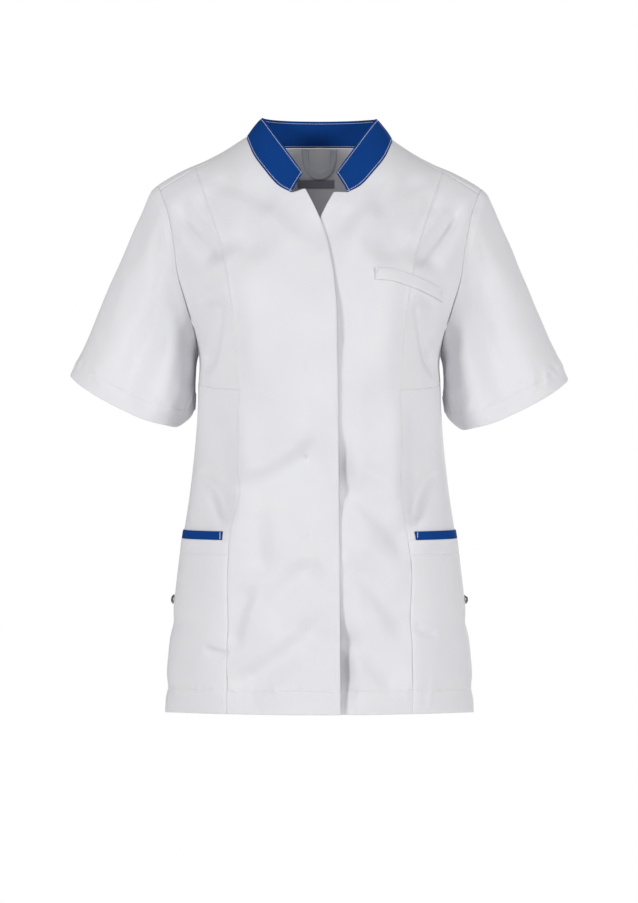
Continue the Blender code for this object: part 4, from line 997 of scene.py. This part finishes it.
for hand, side in ((-1, "right"), (1, "left")):
    fore, aft = front_form[hand][front_under:], back_form[hand][back_under:]
    facing = front_normals[hand][front_under:, -1], (-hand * outward(aft))[::-1, -1][1:-1]
    seam = np.concatenate([fore[:, -1], aft[::-1, -1][1:-1]])
    course = np.concatenate([fore[:, -1] - fore[:, -10], (aft[:, -1] - aft[:, -8])[::-1][1:-1]])
    lines = seam, course, np.concatenate(facing)
    run = run_along(np.concatenate([seam, seam[:1]]), 0)
    top = run[len(fore) - 1]
    # The ring is laid out anew at even steps, so that it has no crowded columns.
    halfway = np.linspace(0, top, SLEEVE_HALF_COLUMNS)[:-1]
    even = np.concatenate([halfway, np.linspace(top, run[-1], SLEEVE_HALF_COLUMNS)[:-1]])
    seam, course, normal = (
        np.stack([np.interp(even, run, np.append(grid[:, k], grid[0, k])) for k in range(3)], axis=-1)
        for grid in lines
    )
    course /= np.linalg.norm(course, axis=-1, keepdims=True)
    turn = np.interp(even, [0, top, run[-1]], [0, pi, 2 * pi])
    far, near, axis = (np.array(place) * [hand, 1, 1] for place in (CUFF_OUTER, CUFF_INNER, SLEEVE_AXIS))
    drop = curve(CUFF_DROP, "turn", "drop", np.degrees(turn)) + LEFT_CUFF_DROP * (hand > 0)
    cuff = (far + near) / 2 + (near - far) / 2 * np.cos(turn)[:, None]
    cuff = cuff + np.stack([0 * turn, -CUFF_HALF_DEPTH * np.sin(turn), -drop], axis=-1)
    follows = smooth_step((seam[:, 2:] + 0.22) / 0.12)  # 1 on the shoulder and 0 under the arm
    start = course * follows + axis * (1 - follows)
    start /= np.linalg.norm(start, axis=-1, keepdims=True)
    length = np.linalg.norm(cuff - seam, axis=-1, keepdims=True)
    away = course * follows + normal * (1 - follows)
    first = seam + 0.0001 * away / np.linalg.norm(away, axis=-1, keepdims=True)
    leave = start * length * (HEAD_REACH * follows + (1 - follows))
    arrive = (cuff - seam) * 0.85 + axis * length * 0.15
    at = shares([0, 1 - SLEEVE_HEM / SLEEVE_LENGTH, 1], SLEEVE_LENGTH, SLEEVE_PITCH)[:, None, None]
    # Each column is a cubic curve that leaves the armhole along the shoulder and reaches the cuff straight.
    cut = (1 + 2 * at) * (1 - at) ** 2 * first + at * (1 - at) ** 2 * leave
    cut = cut + at**2 * (3 - 2 * at) * cuff + at**2 * (at - 1) * arrive
    normals = tube_normals(cut)
    at = at[..., 0]
    relief = np.zeros(cut.shape[:2])
    for fold in SLEEVE_FOLDS:
        turned = np.radians(fold.turn + fold.lean * at + RIGHT_FOLD_TURN * (hand < 0))
        off = np.abs((turn[None] - turned + pi) % (2 * pi) - pi) / np.radians(fold.width)
        fade = smooth_step((at - fold.top) / 0.3) * smooth_step((fold.bottom - at) / 0.2)
        relief += fold.height * bell(off, 1) * fade
    from_head, from_hem = from_ends(cut, 0)
    ring = turn[None] * SLEEVE_RADIUS + 0 * at
    relief += drift(71 + hand, ring, from_head, 0.07, 0.0005) * smooth_step(from_head / 0.03)
    # The head's ease stands up as a low roll beyond the armhole seam.
    relief += 0.0018 * smooth_step(from_head / 0.012) * bell(from_head - 0.012, 0.022) * follows[:, 0]
    hem = from_hem - SLEEVE_HEM
    relief += groove(from_head, 0.0004, 0.0011) + groove(from_hem, 0.0005, 0.0010)
    relief += turned_up(-hem, 0.0005) + groove(hem, 0.0007, 0.0010)
    relief += puckers(73 + hand, ring, hem, 0.013, 0.010, 0.0024)
    relief += puckers(75 + hand, ring, from_head, 0.013, 0.009, 0.0006) * follows[:, 0]
    points = cut + normals * relief[..., None]
    panel(f"sleeve_{side}", points[::-hand], cut[::-hand], joined=True)
    path, up = crossing(points[::-1], normals[::-1], from_hem[::-1], SLEEVE_HEM)
    rows = [row_of_stitches(np.concatenate([path, path[:1]]), np.concatenate([up, up[:1]]))]
    sewing(f"sleeve_{side}_stitching", rows, WHITE_THREAD)


# Collar: a stand band of blue twill, two layers with interfacing between, open at the front. It rises
# from the neckline and leans in, and white topstitching runs 2 to 3 mm from its edges.
CollarEdge = namedtuple("CollarEdge", "x y z")
COLLAR_TOP_FRONT = (
    CollarEdge(0.0203, -0.0560, -0.0457),
    CollarEdge(0.0290, -0.0520, -0.0330),
    CollarEdge(0.0425, -0.0425, -0.0140),
    CollarEdge(0.0565, -0.0280, 0.0065),
    CollarEdge(0.0675, -0.0110, 0.0235),
    CollarEdge(0.0715, 0.0030, 0.0290),
)
COLLAR_TOP_BACK = (
    CollarEdge(0.0715, 0.0030, 0.0290),
    CollarEdge(0.0690, 0.0210, 0.0298),
    CollarEdge(0.0560, 0.0410, 0.0302),
    CollarEdge(0.0310, 0.0540, 0.0304),
    CollarEdge(0.0000, 0.0585, 0.0305),
)
COLLAR_CLOTH, COLLAR_BELLY, COLLAR_HEIGHT, COLLAR_PITCH = 0.0015, 0.0012, 0.040, 0.0024
TOP_STITCH, FOOT_STITCH, END_STITCH = 0.0030, 0.0022, 0.0026
neck = np.flatnonzero((inner > CORNER_END - 1e-4) & (inner < NECK_END + 1e-4))
halves = {}
for hand in (-1, 1):
    fore, aft = front_form[hand][-1, neck], back_form[hand][neck_row, : neck_columns + 1][::-1]
    fore_share, aft_share = (run_along(line, 0) / run_along(line, 0)[-1] for line in (fore, aft))
    foot = np.concatenate([fore, aft[1:]])
    head = np.concatenate(
        [along_table(COLLAR_TOP_FRONT, fore_share).T, along_table(COLLAR_TOP_BACK, aft_share).T[1:]]
    )
    head = head * [hand, 1, 1]
    lift = head - foot
    halves[hand] = foot + 0.0003 * lift / np.linalg.norm(lift, axis=-1, keepdims=True), head
foot, head = (np.concatenate([halves[-1][k], halves[1][k][::-1][1:]]) for k in (0, 1))
share = shares([0, 0.05, 0.95, 1], COLLAR_HEIGHT, COLLAR_PITCH)[:, None, None]
cut = foot + (head - foot) * share
normals = -outward(cut)
from_foot, from_top = from_ends(cut, 0)
from_right, from_left = from_ends(cut, 1)
edge = np.minimum(np.minimum(from_right, from_left), from_top)
relief = COLLAR_BELLY * 4 * share[..., 0] * (1 - share[..., 0]) + groove(edge, 0.0005, 0.0010)
relief = relief + groove(from_foot, 0.0005, 0.0010) + groove(edge - 0.0020, 0.0003, 0.0008)
relief = relief + drift(81, from_right, from_foot, 0.06, 0.0004)
points = cut + normals * relief[..., None]
panel("collar", points[::-1], cut[::-1], BLUE_TWILL, wall=COLLAR_CLOTH)
rows = [
    crossing(points[::-1], normals[::-1], from_top[::-1], TOP_STITCH),
    crossing(points, normals, from_foot, FOOT_STITCH),
    rising(points, normals, from_right, END_STITCH),
    rising(points[:, ::-1], normals[:, ::-1], from_left[:, ::-1], END_STITCH),
]
rows += [(path - up * COLLAR_CLOTH, -up) for path, up in rows]  # the same thread on the inner side
sewing("collar_stitching", [row_of_stitches(*row) for row in rows], WHITE_THREAD)


# Hanger loop and label: a loop of narrow white cotton tape and a small bare satin label, both sewn inside
# the back below the neck seam. The loop swings a little away from the cloth.
LABEL_WIDTH, LABEL_HEIGHT, LABEL_CLOTH = 0.0485, 0.0103, 0.0008
LABEL_X, LABEL_Z = -0.0045, -0.0472
LOOP_HALF_SPAN, LOOP_TOP_Z, LOOP_DROP, LOOP_TAPE, LOOP_CLOTH = 0.0190, -0.0052, 0.0330, 0.0080, 0.0009
LOOP_GAP, LOOP_SWING, LABEL_GAP = 0.0009, 0.0064, 0.0010


def inside_back(x, z, stand_off):
    """Points that stand off the inner side of the back, level towards the middle."""
    body = on_body(turn_at(x, z), z, "back")
    level = body * [1, 1, 0]
    away = level / np.linalg.norm(level, axis=-1, keepdims=True)
    return body + away * (back_relief(x, z) - CLOTH - stand_off)[..., None]


def plain_weave(name, colour, deep, roughness, across, along):
    """Narrow woven goods: ribs across and along on the cloth's own map in metres."""
    made, tree = new_material(name)
    place = add(tree, "ShaderNodeUVMap", {"uv_map": "cloth"})
    ribs = [
        add(
            tree,
            "ShaderNodeTexWave",
            {"bands_direction": direction, "Scale": 2 * pi / 20 / pitch, "Distortion": 0.4},
            [("Vector", place, "UV")],
        )
        for direction, pitch in (("X", across), ("Y", along))
    ]
    both = add(tree, "ShaderNodeMath", {"operation": "MULTIPLY"}, [(0, ribs[0], "Fac"), (1, ribs[1], "Fac")])
    weave = add(tree, "ShaderNodeBump", {"Strength": 0.5, "Distance": 0.0002}, [("Height", both, "Value")])
    tints = {"data_type": "RGBA", 6: linear(deep), 7: linear(colour)}
    tint = add(tree, "ShaderNodeMix", tints, [("Factor", both, "Value")])
    links = [("Base Color", tint, 2), ("Normal", weave, "Normal")]
    shader = add(tree, "ShaderNodeBsdfPrincipled", {"Roughness": roughness, "Sheen Weight": 0.1}, links)
    add(tree, "ShaderNodeOutputMaterial", {}, [("Surface", shader, "BSDF")])
    return made


straight = LOOP_DROP - LOOP_HALF_SPAN
length = 2 * straight + pi * LOOP_HALF_SPAN
along = np.linspace(0, length, 90)
bend = np.clip((along - straight) / LOOP_HALF_SPAN, 0, pi)
leg = np.where(along < length / 2, np.minimum(along, straight), np.minimum(length - along, straight))
radius = LOOP_HALF_SPAN + np.linspace(0.5, -0.5, 6)[:, None] * LOOP_TAPE
x, z = -radius * np.cos(bend), LOOP_TOP_Z - leg - radius * np.sin(bend)
fall = smooth_step((LOOP_TOP_Z - z) / (0.8 * LOOP_DROP))
points = inside_back(x, z, LOOP_GAP + LOOP_CLOTH + LOOP_SWING * fall)
# Cotton tape: a matt, slightly grey white with fine cross ribs.
WHITE_TAPE = plain_weave("white_cotton_tape", "D6D7DA", "BFC1C6", 0.72, 0.0011, 0.0009)
panel("hanger_loop", points, points, WHITE_TAPE, wall=LOOP_CLOTH)

across, up = np.linspace(-0.5, 0.5, 42), np.linspace(-0.5, 0.5, 12)
x, z = np.meshgrid(LABEL_X + LABEL_WIDTH * across, LABEL_Z + LABEL_HEIGHT * up)
points = inside_back(x, z, LABEL_GAP + LABEL_CLOTH + 0 * x)
# Woven satin: dark grey, smoother and a little glossier than the tape.
GREY_LABEL = plain_weave("grey_satin_label", "93909C", "7E7B87", 0.50, 0.0006, 0.0018)
panel("neck_label", points, points, GREY_LABEL, wall=LABEL_CLOTH)


# Vent studs: a press stud at the head of each side vent. Its domed cap, which is what shows, is pressed from
# steel sheet, chromed, and riveted through the pocket's face.
Turned = namedtuple("Turned", "radius height")
STUD_CAP = (
    Turned(0.0052, 0.0000),
    Turned(0.0060, 0.0002),
    Turned(0.0062, 0.0008),
    Turned(0.0060, 0.0014),
    Turned(0.0055, 0.0017),
    Turned(0.0052, 0.0018),
    Turned(0.0047, 0.0025),
    Turned(0.0038, 0.0032),
    Turned(0.0025, 0.0037),
    Turned(0.0012, 0.0039),
    Turned(0.0002, 0.0040),
)
# Chromed steel: mirror bright, rubbed dull in patches. It is a little darker than chrome, because the white
# surround that it mirrors is brighter than a real room.
CHROME, tree = new_material("chromed_steel")
place = add(tree, "ShaderNodeTexCoord", {})
rub = add(tree, "ShaderNodeTexNoise", {"Scale": 900, "Detail": 3.0}, [("Vector", place, "Object")])
span = {"From Min": 0.3, "From Max": 0.7, "To Min": 0.16, "To Max": 0.30}
soft = add(tree, "ShaderNodeMapRange", span, [("Value", rub, "Fac")])
finish = {"Base Color": linear("A2A4A9"), "Metallic": 1.0}
shader = add(tree, "ShaderNodeBsdfPrincipled", finish, [("Roughness", soft, "Result")])
add(tree, "ShaderNodeOutputMaterial", {}, [("Surface", shader, "BSDF")])
turn = np.linspace(0, 2 * pi, 36, endpoint=False)
for hand, side in ((-1, "right"), (1, "left")):
    low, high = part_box(f"vent_stud_{side}")
    points, normals = pocket_face[hand]
    distance = np.linalg.norm(points - (np.array(low) + np.array(high)) / 2, axis=-1)
    near = np.unravel_index(np.argmin(distance), distance.shape)
    up = normals[near]
    right = np.cross([0, 0, 1.0], up)
    right /= np.linalg.norm(right)
    radius, height = np.array(STUD_CAP).T[:, :, None]
    ring = right * np.cos(turn)[:, None] + np.cross(up, right) * np.sin(turn)[:, None]
    rings = points[near] + up * (0.0003 + height[..., None]) + ring * radius[..., None]
    number = np.arange(len(STUD_CAP) * len(turn)).reshape(len(STUD_CAP), len(turn))
    after = np.roll(number, -1, axis=1)
    faces = np.stack([number[:-1], after[:-1], after[1:], number[1:]], axis=-1).reshape(-1, 4).tolist()
    faces += [number[0, ::-1].tolist(), number[-1].tolist()]
    mesh = bpy.data.meshes.new(f"vent_stud_{side}_cap")
    mesh.from_pydata(rings.reshape(-1, 3), [], faces)
    mesh.shade_smooth()
    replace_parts(piece(f"vent_stud_{side}_cap", mesh, CHROME), f"vent_stud_{side}")


# Stage: a pale round floor well below the hem, a white surround, a soft key beside the camera with lights
# to both sides of it and one behind, and the camera where the photograph was taken from.
FLOOR_RADIUS, FLOOR_Z = 2.2, -1.45
turn = np.linspace(0, 2 * pi, 96, endpoint=False)
mesh = bpy.data.meshes.new("floor")
ring = np.stack([FLOOR_RADIUS * np.cos(turn), FLOOR_RADIUS * np.sin(turn), FLOOR_Z + 0 * turn], axis=-1)
mesh.from_pydata(ring, [], [range(len(turn))])
floor = bpy.data.objects.new("floor", mesh)
bpy.context.scene.collection.objects.link(floor)
# Matt white paint, which lightens the hem from below.
PAINT, tree = new_material("white_studio_floor")
shader = add(tree, "ShaderNodeBsdfPrincipled", {"Base Color": linear("F2F2F2"), "Roughness": 0.9})
add(tree, "ShaderNodeOutputMaterial", {}, [("Surface", shader, "BSDF")])
mesh.materials.append(PAINT)

world = bpy.data.worlds.new("studio")
world.use_nodes = True
world.node_tree.nodes.clear()
tree = world.node_tree
# The surround is plain white to the camera and lights the cloth with a quarter of that.
rays = add(tree, "ShaderNodeLightPath", {})
level = add(tree, "ShaderNodeMapRange", {"To Min": 0.26, "To Max": 1.0}, [("Value", rays, "Is Camera Ray")])
sky = add(tree, "ShaderNodeBackground", {"Color": (1, 1, 1, 1)}, [("Strength", level, "Result")])
add(tree, "ShaderNodeOutputWorld", {}, [("Surface", sky, "Background")])
bpy.context.scene.world = world
Lamp = namedtuple("Lamp", "name place aim size power")
for lamp in (
    Lamp("key", (-0.4, -3.1, 0.4), (0, 0, -0.35), 0.8, 14),
    Lamp("left", (-2.4, -2.0, 0.5), (0, 0, -0.35), 0.7, 48),
    Lamp("right", (2.4, -2.0, 0.3), (0, 0, -0.35), 0.8, 46),
    Lamp("rear", (0.9, 2.6, 0.6), (0, 0, -0.35), 1.6, 62),
):
    light = bpy.data.lights.new(lamp.name, "AREA")
    light.shape, light.size, light.energy = "DISK", lamp.size, lamp.power
    made = bpy.data.objects.new(lamp.name, light)
    bpy.context.scene.collection.objects.link(made)
    heading = np.array(lamp.aim) - np.array(lamp.place)
    tilt = np.arctan2(np.hypot(heading[0], heading[1]), -heading[2])
    made.location, made.rotation_euler = lamp.place, (tilt, 0, np.arctan2(-heading[0], heading[1]))

camera = bpy.data.cameras.new("camera")
camera.lens, camera.sensor_width = 108.4, 36.0
view = bpy.data.objects.new("camera", camera)
bpy.context.scene.collection.objects.link(view)
view.location, view.rotation_euler = (-0.0006, -3.4, -0.389), (pi / 2, 0, 0)
bpy.context.scene.camera = view
bpy.context.scene.view_settings.view_transform = "Standard"
